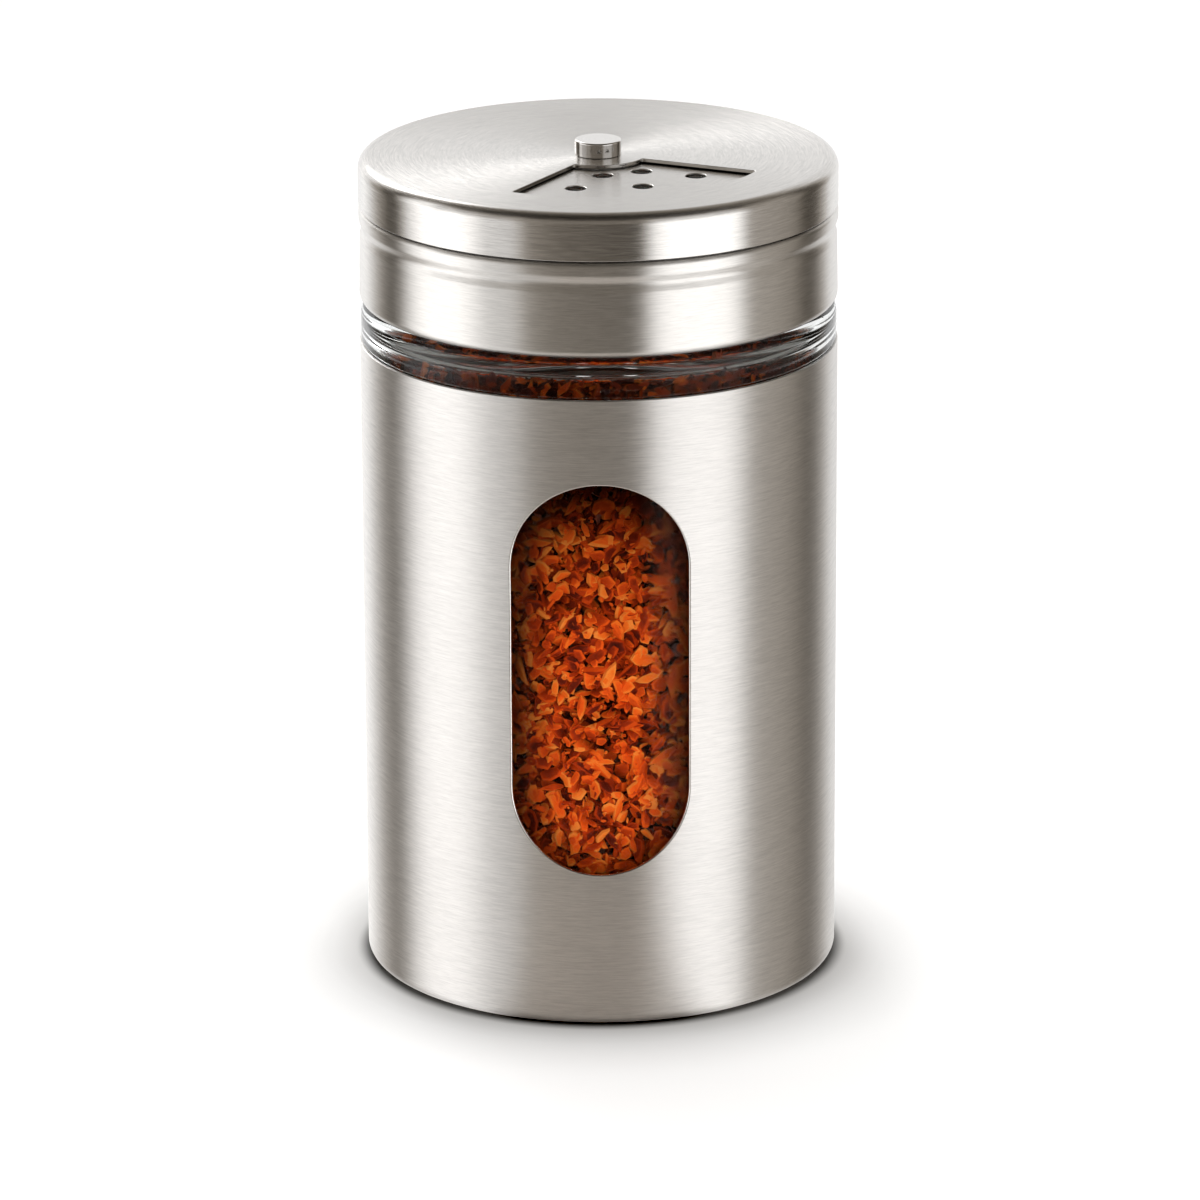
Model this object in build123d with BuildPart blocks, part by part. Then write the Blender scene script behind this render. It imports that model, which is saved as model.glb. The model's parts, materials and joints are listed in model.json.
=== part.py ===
from build123d import *
from math import degrees
import os

# A spice shaker: a glass jar in a steel sleeve with a window, under a screw lid with a turning cover.
# All sizes are in millimetres. The jar stands on Z = 0, +Z is up, and the window faces -Y.

# Steel sleeve, drawn as one cup
body_radius = 31.5
sleeve_height = 85.45
sheet = 0.5
base_corner_inside = 1.0
foot_width = 4.5
recess_depth = 0.8
recess_slope = 1.2
recess_bend_inside = 0.3

# Window in the sleeve
window_width = 23.2
window_height = 53.1
window_centre_height = 47.55
window_edge_rounding = 0.2
window_angle = -90.0

# Soft ring between the sleeve's bottom and the glass
cushion_thickness = 1.5
cushion_width = 3.2
cushion_margin = 0.6

# Glass jar
glass_gap = 0.25
glass_wall = 2.75
glass_floor = 4.0
push_up = 1.0
push_up_slope = 2.5
heel_rounding = 2.0
floor_rounding = 4.0
bead_gap = 0.2
bead_height = 5.05
bead_inset = 0.15
bead_foot_rounding = 0.4
shoulder_rounding = 1.8
shoulder_glass = 2.4
ceiling_rounding = 2.6
mouth_rounding = 1.0
neck_step = 5.2
neck_wall = 2.4
neck_height = 13.9
neck_root_rounding = 1.0
rim_rounding = 0.9

# Seasoning inside the jar
fill_gap = 0.2
fill_heap = 1.4
fill_margin = 1.2

# Coarse flakes that stand out of the packed seasoning where it shows
flake_length = 5.0
flake_width = 3.6
flake_rise = 1.0
flake_tilt = 8.0
flake_turn = 137.5
flake_spacing = 6.5
packing_depth = 1.4
window_flake_rows = 9
window_flake_columns = 5
shoulder_flake_count = 26
shoulder_flake_drop = 2.3

# Seal under the roof of the threaded insert
seal_gap = 0.05
seal_thickness = 1.2
seal_width = 3.4

# Plastic insert that carries the thread
thread_room = 1.3
insert_wall = 1.2
insert_flange = 1.2
insert_rounding = 0.3
insert_gap = 0.1
roof_thickness = 1.2
roof_overhang = 5.0
rim_over_roof = 1.35
rib_count = 24
rib_thickness = 1.0
rib_gap = 0.4

# Screw cap, drawn in the same sheet as the sleeve
cap_gap = 0.3
cap_lip = 1.7
cap_corner_inside = 0.5
cap_flare = 0.15
bead_band = 2.85
pinch_depth = 0.45
pinch_run = 1.1
pinch_rounding = 1.2
shoulder_bend_inside = 0.15
cap_neck_inset = 0.9
ledge_width = 4.0

# Sifter plate on the cap's ledge
plate_gap = 0.5
sprinkle_angle = -68.5
sprinkle_hole_radius = 1.35
inner_row_radius = 8.9
inner_row_spread = 35.5
outer_row_radius = 15.7
outer_row_spread = 64.5
pour_angle = 50.0
pour_width_angle = 80.0
pour_inner_radius = 8.0
pour_margin = 9.6

# Turning cover
cover_height = 6.2
cover_gap = 0.15
seam_gap = 0.25
cover_corner_inside = 1.0
cutout_angle = -72.0
cutout_width_angle = 95.0
cutout_inner_radius = 6.3
cutout_margin = 9.0

# Pivot: a rivet through the cover and the plate, with its washers
shank_radius = 2.0
running_gap = 0.05
knob_radius = 3.05
knob_height = 2.0
knob_rounding = 0.25
slip_washer_radius = 5.5
spring_rise = 0.9
spring_thickness = 0.3
spring_radius = 4.6
washer_thickness = 0.5
washer_radius = 4.0
rivet_end_radius = 3.2
rivet_end_height = 0.6
stack_gap = 0.02

# Heights and radii that follow from the sizes above
sleeve_inside = body_radius - sheet
cushion_bottom = sheet
glass_bottom = cushion_bottom + cushion_thickness
glass_radius = sleeve_inside - glass_gap
glass_inside = glass_radius - glass_wall
glass_floor_top = glass_bottom + push_up + glass_floor
packed_radius = glass_inside - fill_gap - packing_depth
bead_bottom = sleeve_height + bead_gap
shoulder_top = bead_bottom + bead_height
ceiling = shoulder_top - shoulder_glass
neck_bore = glass_inside - neck_step
neck_radius = neck_bore + neck_wall
rim_top = shoulder_top + neck_height
cap_bottom = shoulder_top + cap_gap
seal_bottom = rim_top + seal_gap
roof_bottom = seal_bottom + seal_thickness + stack_gap
roof_top = roof_bottom + roof_thickness
ledge_top = roof_top + rim_over_roof + sheet
plate_top = ledge_top + sheet
cover_top = plate_top + cover_gap + sheet
cover_bottom = cover_top - cover_height
cap_shoulder = cover_bottom - seam_gap
pinch_height = cap_shoulder - bead_band
cap_neck_radius = body_radius - cap_neck_inset
plate_radius = cap_neck_radius - plate_gap
insert_bore = neck_radius + thread_room
insert_low_radius = sleeve_inside - insert_gap
insert_top_radius = cap_neck_radius - sheet - insert_gap
pivot_hole_radius = shank_radius + running_gap


def turned_outline(*corners):
    """Closed half section of a turned piece, each corner as (radius, height, rounding)."""
    points = [(radius, height) for radius, height, rounding in corners]
    roundings = [rounding for radius, height, rounding in corners]
    FilletPolyline(*points, radius=roundings, close=True)


def sheet_outline(*corners):
    """Half section of a drawn shell: the outside through (radius, height, bend) and one sheet inwards."""
    points = [(radius, height) for radius, height, bend in corners]
    bends = [bend for radius, height, bend in corners[1:-1]]
    outside = FilletPolyline(*points, radius=bends, mode=Mode.PRIVATE)
    add(offset(outside, amount=sheet, side=Side.LEFT, mode=Mode.PRIVATE))


def sector_outline(inner_radius, outer_radius, centre_angle, width_angle):
    """Closed sector of a ring around the pivot, its straight sides pointing at the axis."""
    start = centre_angle - width_angle / 2
    inner_arc = CenterArc((0, 0), inner_radius, start, width_angle)
    outer_arc = CenterArc((0, 0), outer_radius, start, width_angle)
    Line(inner_arc @ 0, outer_arc @ 0)
    Line(inner_arc @ 1, outer_arc @ 1)


def flake_on_the_wall(number, height, heading):
    """Place of a coarse flake on the wall of the packed seasoning. Its number sets how it is turned."""
    on_wall = Location((0, 0, height), (0, 0, heading)) * Location((packed_radius, 0, 0), (0, 90, 0))
    turned = Location((0, 0, 0), (0, 0, number * flake_turn))
    return on_wall * turned * Location((0, 0, 0), (flake_tilt, 0, 0))


def on_the_skin(edge):
    """True for an edge that lies on the sleeve's outside."""
    middle = edge @ 0.5
    return abs(Vector(middle.X, middle.Y).length - body_radius) < sheet / 10


os.makedirs("parts", exist_ok=True)

# Sleeve: a drawn cup that stands on a flat ring around its pressed-up bottom
recess_radius = body_radius - base_corner_inside - sheet - foot_width
with BuildPart() as sleeve:
    with BuildSketch(Plane.XZ):
        with BuildLine():
            sheet_outline(
                (0, recess_depth, 0),
                (recess_radius - recess_slope, recess_depth, recess_bend_inside + sheet),
                (recess_radius, 0, recess_bend_inside),
                (body_radius, 0, base_corner_inside + sheet),
                (body_radius, sleeve_height, 0),
            )
        make_face()
    revolve(axis=Axis.Z)
    with BuildSketch(Plane.XZ):
        with Locations((0, window_centre_height)):
            SlotOverall(window_height, window_width, rotation=90)
    extrude(amount=body_radius + sheet, mode=Mode.SUBTRACT)
    window_edges = sleeve.edges(Select.LAST).filter_by(on_the_skin)
    fillet(window_edges, radius=window_edge_rounding)
sleeve.part.label = "sleeve"
export_step(sleeve.part, "parts/sleeve.step")

# Base cushion: a flat soft ring on the sleeve's bottom, under the heel of the glass
cushion_bore = recess_radius + cushion_margin
with BuildPart() as base_cushion:
    with BuildSketch(Plane.XY.offset(cushion_bottom)):
        Circle(cushion_bore + cushion_width)
        Circle(cushion_bore, mode=Mode.SUBTRACT)
    extrude(amount=cushion_thickness)
base_cushion.part.label = "base_cushion"
export_step(base_cushion.part, "parts/base_cushion.step")

# Glass jar: thick floor with a push-up, a bead that rests over the sleeve's edge, and a neck
push_up_radius = recess_radius - push_up_slope
with BuildPart() as glass_jar:
    with BuildSketch(Plane.XZ):
        with BuildLine():
            turned_outline(
                (0, glass_bottom + push_up, 0),
                (push_up_radius, glass_bottom + push_up, push_up),
                (push_up_radius + push_up_slope, glass_bottom, push_up),
                (glass_radius, glass_bottom, heel_rounding),
                (glass_radius, bead_bottom, 0),
                (body_radius - bead_inset, bead_bottom, bead_foot_rounding),
                (body_radius - bead_inset, shoulder_top, shoulder_rounding),
                (neck_radius, shoulder_top, neck_root_rounding),
                (neck_radius, rim_top, rim_rounding),
                (neck_bore, rim_top, rim_rounding),
                (neck_bore, ceiling, mouth_rounding),
                (glass_inside, ceiling, ceiling_rounding),
                (glass_inside, glass_floor_top, floor_rounding),
                (0, glass_floor_top, 0),
            )
        make_face()
    revolve(axis=Axis.Z)
glass_jar.part.label = "glass_jar"
export_step(glass_jar.part, "parts/glass_jar.step")

# Seasoning: fills the jar up to its shoulder and lies in a low heap in the neck. Coarse flakes stand out
# of it behind the window, every other row shifted by half a step, and round the shoulder.
column_angle = degrees(flake_spacing / packed_radius)
window_flakes = [
    flake_on_the_wall(
        row * window_flake_columns + column,
        window_centre_height + (row - (window_flake_rows - 1) / 2) * flake_spacing,
        window_angle + (column - (window_flake_columns - 1) / 2 + (row % 2 - 0.5) / 2) * column_angle,
    )
    for row in range(window_flake_rows)
    for column in range(window_flake_columns)
]
shoulder_flake_height = ceiling - ceiling_rounding - shoulder_flake_drop
shoulder_flakes = [
    flake_on_the_wall(number, shoulder_flake_height, number * 360 / shoulder_flake_count)
    for number in range(shoulder_flake_count)
]
with BuildPart() as seasoning_fill:
    with BuildSketch(Plane.XZ):
        with BuildLine():
            turned_outline(
                (0, glass_floor_top + fill_gap, 0),
                (packed_radius, glass_floor_top + fill_gap, floor_rounding - fill_gap),
                (packed_radius, ceiling - fill_gap, ceiling_rounding - fill_gap),
                (neck_bore - fill_margin, ceiling - fill_gap, 0),
                (0, ceiling + fill_heap, 0),
            )
        make_face()
    revolve(axis=Axis.Z)
    with Locations(*window_flakes, *shoulder_flakes):
        Box(flake_length, flake_width, 2 * flake_rise)
seasoning_fill.part.label = "seasoning_fill"
export_step(seasoning_fill.part, "parts/seasoning_fill.step")

# Seal ring: sits under the insert's roof and is pressed on the rim of the glass
seal_radius = insert_bore - insert_rounding
with BuildPart() as seal_ring:
    with BuildSketch(Plane.XY.offset(seal_bottom)):
        Circle(seal_radius)
        Circle(seal_radius - seal_width, mode=Mode.SUBTRACT)
    extrude(amount=seal_thickness)
seal_ring.part.label = "seal_ring"
export_step(seal_ring.part, "parts/seal_ring.step")

# Thread insert: a moulded barrel with a flange at the mouth, a roof over the glass and outside ribs
barrel_radius = insert_bore + insert_wall
flange_bottom = cap_bottom + sheet
flange_top = flange_bottom + insert_flange
with BuildPart() as thread_insert:
    with BuildSketch(Plane.XZ):
        with BuildLine():
            turned_outline(
                (insert_bore, flange_bottom, insert_rounding),
                (insert_low_radius, flange_bottom, cap_corner_inside + insert_rounding),
                (insert_low_radius, flange_top, insert_rounding),
                (barrel_radius, flange_top, insert_rounding),
                (barrel_radius, roof_bottom, insert_rounding),
                (insert_top_radius, roof_bottom, insert_rounding),
                (insert_top_radius, roof_top + rim_over_roof, insert_rounding),
                (insert_top_radius - insert_wall, roof_top + rim_over_roof, insert_rounding),
                (insert_top_radius - insert_wall, roof_top, insert_rounding),
                (insert_bore - roof_overhang, roof_top, insert_rounding),
                (insert_bore - roof_overhang, roof_bottom, insert_rounding),
                (insert_bore, roof_bottom, 0),
            )
        make_face()
    revolve(axis=Axis.Z)
    rib_depth = insert_top_radius - rib_gap - insert_bore - insert_wall / 2
    with BuildSketch(Plane.XY.offset(flange_top - insert_rounding)):
        with PolarLocations(insert_top_radius - rib_gap, rib_count):
            Rectangle(rib_depth, rib_thickness, align=(Align.MAX, Align.CENTER))
    extrude(amount=roof_bottom - flange_top + 2 * insert_rounding)
thread_insert.part.label = "thread_insert"
export_step(thread_insert.part, "parts/thread_insert.step")

# Screw cap: a drawn shell with an inturned lip, a rolled bead over a pinched waist, and a ledge
with BuildPart() as screw_cap:
    with BuildSketch(Plane.XZ):
        with BuildLine():
            sheet_outline(
                (body_radius - cap_lip, cap_bottom, 0),
                (body_radius, cap_bottom, cap_corner_inside + sheet),
                (body_radius - cap_flare, pinch_height - pinch_run, pinch_rounding),
                (body_radius - pinch_depth, pinch_height, pinch_rounding),
                (body_radius, pinch_height + pinch_run, pinch_rounding),
                (body_radius, cap_shoulder, shoulder_bend_inside + sheet),
                (cap_neck_radius, cap_shoulder, shoulder_bend_inside),
                (cap_neck_radius, ledge_top, shoulder_bend_inside + sheet),
                (cap_neck_radius - ledge_width, ledge_top, 0),
            )
        make_face()
    revolve(axis=Axis.Z)
screw_cap.part.label = "screw_cap"
export_step(screw_cap.part, "parts/screw_cap.step")

# Sifter plate: five sprinkle holes in two rows, a pouring hole, and a closed part
with BuildPart() as sifter_plate:
    with BuildSketch(Plane.XY.offset(ledge_top)):
        Circle(plate_radius)
        Circle(pivot_hole_radius, mode=Mode.SUBTRACT)
        with PolarLocations(
            inner_row_radius, 2, sprinkle_angle - inner_row_spread / 2, inner_row_spread, endpoint=True
        ):
            Circle(sprinkle_hole_radius, mode=Mode.SUBTRACT)
        with PolarLocations(
            outer_row_radius, 3, sprinkle_angle - outer_row_spread / 2, outer_row_spread, endpoint=True
        ):
            Circle(sprinkle_hole_radius, mode=Mode.SUBTRACT)
    extrude(amount=sheet)
    with BuildSketch(Plane.XY.offset(ledge_top)):
        with BuildLine():
            sector_outline(pour_inner_radius, body_radius - pour_margin, pour_angle, pour_width_angle)
        make_face()
    extrude(amount=sheet, mode=Mode.SUBTRACT)
sifter_plate.part.label = "sifter_plate"
export_step(sifter_plate.part, "parts/sifter_plate.step")

# Top cover: a drawn dial with a rounded top edge and a sector cut out of it
with BuildPart() as top_cover:
    with BuildSketch(Plane.XZ):
        with BuildLine():
            sheet_outline(
                (body_radius, cover_bottom, 0),
                (body_radius, cover_top, cover_corner_inside + sheet),
                (0, cover_top, 0),
            )
        make_face()
    revolve(axis=Axis.Z)
    with BuildSketch(Plane.XY.offset(cover_top)):
        with BuildLine():
            sector_outline(
                cutout_inner_radius, body_radius - cutout_margin, cutout_angle, cutout_width_angle
            )
        make_face()
    extrude(amount=-sheet, mode=Mode.SUBTRACT)
    with Locations((0, 0, cover_top)):
        Hole(pivot_hole_radius, depth=sheet)
top_cover.part.label = "top_cover"
export_step(top_cover.part, "parts/top_cover.step")

# Slip washer: keeps the turning cover off the plate
with BuildPart() as slip_washer:
    with BuildSketch(Plane.XY.offset(plate_top + stack_gap)):
        Circle(slip_washer_radius)
        Circle(pivot_hole_radius, mode=Mode.SUBTRACT)
    extrude(amount=cover_gap - 2 * stack_gap)
slip_washer.part.label = "slip_washer"
export_step(slip_washer.part, "parts/slip_washer.step")

# Spring washer: a dished ring under the plate that gives the cover its drag
spring_top = ledge_top - stack_gap
spring_bottom = spring_top - spring_rise
with BuildPart() as spring_washer:
    with BuildSketch(Plane.XZ):
        with BuildLine():
            Polyline(
                (pivot_hole_radius, spring_bottom),
                (spring_radius, spring_top - spring_thickness),
                (spring_radius, spring_top),
                (pivot_hole_radius, spring_bottom + spring_thickness),
                close=True,
            )
        make_face()
    revolve(axis=Axis.Z)
spring_washer.part.label = "spring_washer"
export_step(spring_washer.part, "parts/spring_washer.step")

# Flat washer: spreads the load of the spring on the rivet's end
washer_top = spring_bottom - stack_gap
washer_bottom = washer_top - washer_thickness
with BuildPart() as flat_washer:
    with BuildSketch(Plane.XY.offset(washer_bottom)):
        Circle(washer_radius)
        Circle(pivot_hole_radius, mode=Mode.SUBTRACT)
    extrude(amount=washer_thickness)
flat_washer.part.label = "flat_washer"
export_step(flat_washer.part, "parts/flat_washer.step")

# Pivot rivet: a turned knob on top of the cover, a shank, and an end spread under the washers
rivet_end_top = washer_bottom - stack_gap
knob_bottom = cover_top + stack_gap
with BuildPart() as pivot_rivet:
    with BuildSketch(Plane.XZ):
        with BuildLine():
            turned_outline(
                (0, rivet_end_top - rivet_end_height, 0),
                (rivet_end_radius, rivet_end_top - rivet_end_height, rivet_end_height / 2),
                (rivet_end_radius, rivet_end_top, 0),
                (shank_radius, rivet_end_top, 0),
                (shank_radius, knob_bottom, 0),
                (knob_radius, knob_bottom, 0),
                (knob_radius, knob_bottom + knob_height, knob_rounding),
                (0, knob_bottom + knob_height, 0),
            )
        make_face()
    revolve(axis=Axis.Z)
pivot_rivet.part.label = "pivot_rivet"
export_step(pivot_rivet.part, "parts/pivot_rivet.step")
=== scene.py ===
# %% [markdown]
# # A spice shaker, dressed for its portrait
# The shaker is a glass jar in a brushed steel sleeve. A stadium-shaped window in the sleeve shows the
# chilli flakes inside, and a steel lid with a turning cover closes the jar. The engineering model is loaded
# first and never changes: it gives every size and place that it can, in metres, with +Z up and the window
# facing -Y. Each step below makes one piece or one finish, and says why it is made that way.

# %% Load the frame
import json
import math
import random

import bpy
from mathutils import Matrix, Vector
from mathutils.geometry import delaunay_2d_cdt

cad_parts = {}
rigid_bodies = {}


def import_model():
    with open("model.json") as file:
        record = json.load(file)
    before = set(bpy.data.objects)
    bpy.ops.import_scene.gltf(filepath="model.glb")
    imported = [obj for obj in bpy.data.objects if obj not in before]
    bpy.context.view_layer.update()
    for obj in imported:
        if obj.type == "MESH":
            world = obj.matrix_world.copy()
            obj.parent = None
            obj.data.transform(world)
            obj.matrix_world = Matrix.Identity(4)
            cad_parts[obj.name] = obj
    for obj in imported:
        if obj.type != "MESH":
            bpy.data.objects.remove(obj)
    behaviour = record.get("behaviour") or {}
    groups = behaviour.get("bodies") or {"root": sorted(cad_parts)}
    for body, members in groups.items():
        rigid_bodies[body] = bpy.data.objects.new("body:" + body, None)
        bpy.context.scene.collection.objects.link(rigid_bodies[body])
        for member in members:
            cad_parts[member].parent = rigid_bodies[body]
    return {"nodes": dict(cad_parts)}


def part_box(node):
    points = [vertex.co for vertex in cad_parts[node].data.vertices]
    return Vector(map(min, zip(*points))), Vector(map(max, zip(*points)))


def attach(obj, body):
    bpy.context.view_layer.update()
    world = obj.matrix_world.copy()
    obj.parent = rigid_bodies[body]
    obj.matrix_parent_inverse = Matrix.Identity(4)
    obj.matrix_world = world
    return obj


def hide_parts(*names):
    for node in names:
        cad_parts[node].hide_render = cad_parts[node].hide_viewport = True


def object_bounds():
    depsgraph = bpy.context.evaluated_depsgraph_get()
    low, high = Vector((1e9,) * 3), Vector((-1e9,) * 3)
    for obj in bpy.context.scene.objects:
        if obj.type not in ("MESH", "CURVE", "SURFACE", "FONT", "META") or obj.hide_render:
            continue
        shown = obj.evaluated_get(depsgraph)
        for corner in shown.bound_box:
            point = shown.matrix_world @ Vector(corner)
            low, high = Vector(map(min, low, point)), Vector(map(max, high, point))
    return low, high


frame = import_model()
cad_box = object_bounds()
mm = 0.001

# %% [markdown]
# ## The camera
# The photograph was taken from about a metre away with a long lens, a little from above, so the shaker's
# sides hardly narrow. A focal length of 219 mm on a 36 mm sensor gives the same ellipses at the lid and the
# base.

# %% Camera
CAMERA_DISTANCE = 928 * mm
CAMERA_HEIGHT = 346.45 * mm
CAMERA_PITCH = math.radians(17.79)
CAMERA_ROLL = math.radians(0.25)
CAMERA_LENS = 219
CAMERA_SENSOR = 36

camera = bpy.data.objects.new("camera", bpy.data.cameras.new("camera"))
bpy.context.scene.collection.objects.link(camera)
camera.data.sensor_width = CAMERA_SENSOR
camera.data.lens = CAMERA_LENS
camera.data.clip_start = 10 * mm
camera.location = (0, -CAMERA_DISTANCE, CAMERA_HEIGHT)
aim = Matrix.Rotation(math.pi / 2 - CAMERA_PITCH, 3, "X") @ Matrix.Rotation(-CAMERA_ROLL, 3, "Z")
camera.rotation_euler = aim.to_euler()
bpy.context.scene.camera = camera
print("camera at", [round(c, 3) for c in camera.location])

# %% [markdown]
# ## Nodes in few words
# Light, floor, finishes and scattering are all node trees. A tree takes many lines when each node is made
# and joined by hand, so a few helpers do that: each makes one node, feeds it with plain values or with
# other nodes' outputs, and hands back what comes out.

# %% Node helpers


def feed(tree, socket, value):
    """Joins an output to an input socket, or sets the input to a plain value."""
    if isinstance(value, bpy.types.NodeSocket):
        tree.links.new(value, socket)
    elif value is not None:
        socket.default_value = value


def feed_inputs(tree, node, **given):
    """Feeds a node's inputs by name, with _ for a space."""
    for name, value in given.items():
        feed(tree, node.inputs[name.replace("_", " ")], value)


def add_node(tree, kind, **given):
    """A new node. Names in lower case are its settings, and names with a capital are its inputs."""
    node = tree.nodes.new(kind)
    for setting in [name for name in given if name[0].islower()]:
        setattr(node, setting, given.pop(setting))
    feed_inputs(tree, node, **given)
    return node


def in_order(tree, kind, *values):
    """What comes out of a new node whose inputs are fed in their order."""
    node = tree.nodes.new(kind)
    for socket, value in zip(node.inputs, values):
        feed(tree, socket, value)
    return node.outputs[0]


def math_node(tree, operation, first, second=None):
    """A sum, product or other operation on numbers."""
    node = add_node(tree, "ShaderNodeMath", operation=operation)
    feed(tree, node.inputs[0], first)
    feed(tree, node.inputs[1], second)
    return node.outputs[0]


def vector_node(tree, operation, first, second=None):
    """An operation on vectors: a number for a length or a dot product, and otherwise a vector."""
    node = add_node(tree, "ShaderNodeVectorMath", operation=operation)
    feed(tree, node.inputs[0], first)
    feed(tree, node.inputs["Scale"] if operation == "SCALE" else node.inputs[1], second)
    return node.outputs["Value" if operation in ("LENGTH", "DOT_PRODUCT") else "Vector"]


def rescale(tree, value, source, target=(0.0, 1.0), soft=False):
    """Takes a value from one range to another, held at both ends, and eased there if soft."""
    ends = dict(zip(("From_Min", "From_Max", "To_Min", "To_Max"), (*source, *target)))
    kind = "SMOOTHSTEP" if soft else "LINEAR"
    return add_node(tree, "ShaderNodeMapRange", interpolation_type=kind, Value=value, **ends).outputs[0]


def blend(tree, factor, first, second):
    """A value between two others."""
    return add_node(tree, "ShaderNodeMix", Factor=factor, A=first, B=second).outputs[0]


def split(tree, vector):
    """The X, Y and Z of a vector."""
    return tuple(add_node(tree, "ShaderNodeSeparateXYZ", Vector=vector).outputs)


def bearing(tree, place):
    """The angle of a place or direction round the shaker: 0 at the front, and rising to the right."""
    x, y, z = split(tree, place)
    return math_node(tree, "ARCTAN2", x, math_node(tree, "MULTIPLY", y, -1.0))


def object_place(tree):
    """Each point's place on the shaker."""
    return tree.nodes.new("ShaderNodeTexCoord").outputs["Object"]


def curve_through(tree, value, places):
    """A value bent by a curve through (place, value) pairs, straight between them."""
    node = add_node(tree, "ShaderNodeFloatCurve", Value=value)
    curve = node.mapping.curves[0]
    for extra in range(len(places) - 2):
        curve.points.new(0.5, 0.5)
    for point, place in zip(curve.points, places):
        point.location = place
        point.handle_type = "VECTOR"
    node.mapping.update()
    return node.outputs[0]


def colours(tree, value, *stops):
    """A colour ramp through (position, red, green, blue) stops, read at value."""
    node = add_node(tree, "ShaderNodeValToRGB", Fac=value)
    ramp = node.color_ramp
    while len(ramp.elements) < len(stops):
        ramp.elements.new(0.5)
    for element, (position, *rgb) in zip(ramp.elements, stops):
        element.position = position
        element.color = (*rgb, 1)
    return node.outputs["Color"]


print("node helpers ready")

# %% [markdown]
# ## Studio light
# Brushed steel shows its surroundings as upright bands, so the surroundings are the light. A grey studio
# with two tall soft boxes, one at the left and one at the front right, and a pale wall behind, is painted
# on the world by direction. A small light, painted high up behind, draws the fan of light on the flat top.
# Above the horizon the front is more even, so that the top is neither black nor burnt out when it is seen
# from behind.

# %% World
AZIMUTH_LIGHT = [
    (-180, 1.05), (-165, 1.1), (-150, 1.38), (-140, 0.95), (-130, 0.4), (-120, 0.08), (-112, 0.1),
    (-101, 1.5), (-92, 2.13), (-72, 2.24), (-62, 1.65), (-56, 1.12), (-41, 0.98), (-34, 0.34), (-20, 0.18),
    (8, 0.11), (20, 0.09), (28, 1.8), (36, 2.24), (60, 2.31), (69, 2.1), (77, 0.53), (92, 0.48),
    (108, 0.37), (117, 0.1), (128, 0.1), (136, 0.5), (147, 1.15), (165, 1.05), (180, 1.05),
]
# Each pair of limits is where an effect starts and where it is full, by the Y or Z of the direction.
FRONT_EDGE = (0.1, -0.1)
FRONT_RISE = (-0.02, 0.2)
FRONT_EVENNESS = 0.7
FRONT_ABOVE = 0.41
OVERHEAD_RISE = (0.44, 0.76)
OVERHEAD_DEPTH = (0.0, 0.65)
OVERHEAD_LIGHT = (0.03, 0.35)
FAN_LIGHT = (-0.3, 0.8, 0.5)
FAN_CONE = (15, 5)
FAN_STRENGTH = 6.5
BELOW_FALL = (-0.45, -0.9)
BELOW_LIGHT = 0.9
HIGHEST_SEEN = 0.25
DIM_TINT = (1.0, 0.87, 0.71)


def studio_world():
    """Light by direction: bands of soft box and grey round the horizon, a fan of light above, plain below."""
    world = bpy.data.worlds.new("studio")
    world.use_nodes = True
    tree = world.node_tree
    tree.nodes.clear()
    direction = tree.nodes.new("ShaderNodeTexCoord").outputs["Generated"]
    x, y, z = split(tree, direction)
    turn = math_node(tree, "MULTIPLY", bearing(tree, direction), 0.5 / math.pi)
    strongest = max(light for angle, light in AZIMUTH_LIGHT)
    stops = [(angle / 360 + 0.5, light / strongest) for angle, light in AZIMUTH_LIGHT]
    round_about = curve_through(tree, math_node(tree, "ADD", turn, 0.5), stops)
    in_front = rescale(tree, y, FRONT_EDGE)
    evenness = rescale(tree, z, FRONT_RISE, (0.0, FRONT_EVENNESS), soft=True)
    evened = math_node(tree, "MULTIPLY", in_front, evenness)
    bands = blend(tree, evened, math_node(tree, "MULTIPLY", round_about, strongest), FRONT_ABOVE)
    overhead = rescale(tree, y, OVERHEAD_DEPTH, OVERHEAD_LIGHT)
    upper = blend(tree, rescale(tree, z, OVERHEAD_RISE, soft=True), bands, overhead)
    nearness = vector_node(tree, "DOT_PRODUCT", direction, Vector(FAN_LIGHT).normalized())
    cone = [math.cos(math.radians(angle)) for angle in FAN_CONE]
    fan = rescale(tree, nearness, cone, (0.0, FAN_STRENGTH), soft=True)
    below = rescale(tree, z, BELOW_FALL, soft=True)
    light = blend(tree, below, math_node(tree, "ADD", upper, fan), BELOW_LIGHT)
    path = tree.nodes.new("ShaderNodeLightPath")
    low_down = math_node(tree, "LESS_THAN", z, HIGHEST_SEEN)
    behind = math_node(tree, "MULTIPLY", math_node(tree, "GREATER_THAN", y, 0.0), low_down)
    through_glass = math_node(tree, "MULTIPLY", path.outputs["Is Transmission Ray"], behind)
    seen = math_node(tree, "MAXIMUM", path.outputs["Is Camera Ray"], through_glass)
    strength = blend(tree, seen, light, 1.0)
    tint = colours(tree, strength, (0.1, *DIM_TINT), (1.0, 1, 1, 1))
    background = add_node(tree, "ShaderNodeBackground", Strength=strength, Color=tint)
    add_node(tree, "ShaderNodeOutputWorld", Surface=background.outputs[0])
    return world


scene = bpy.context.scene
scene.world = studio_world()
scene.view_settings.view_transform = "Standard"
print("world:", len(AZIMUTH_LIGHT), "stops of light round the horizon")

# %% Lamps
LAMPS = {
    "key_lamp": ((0.12, -0.8, 0.28), 0.3, 3.4),
    "top_lamp": ((-0.03, 0.15, 0.9), 0.6, 4.0),
}


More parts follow.
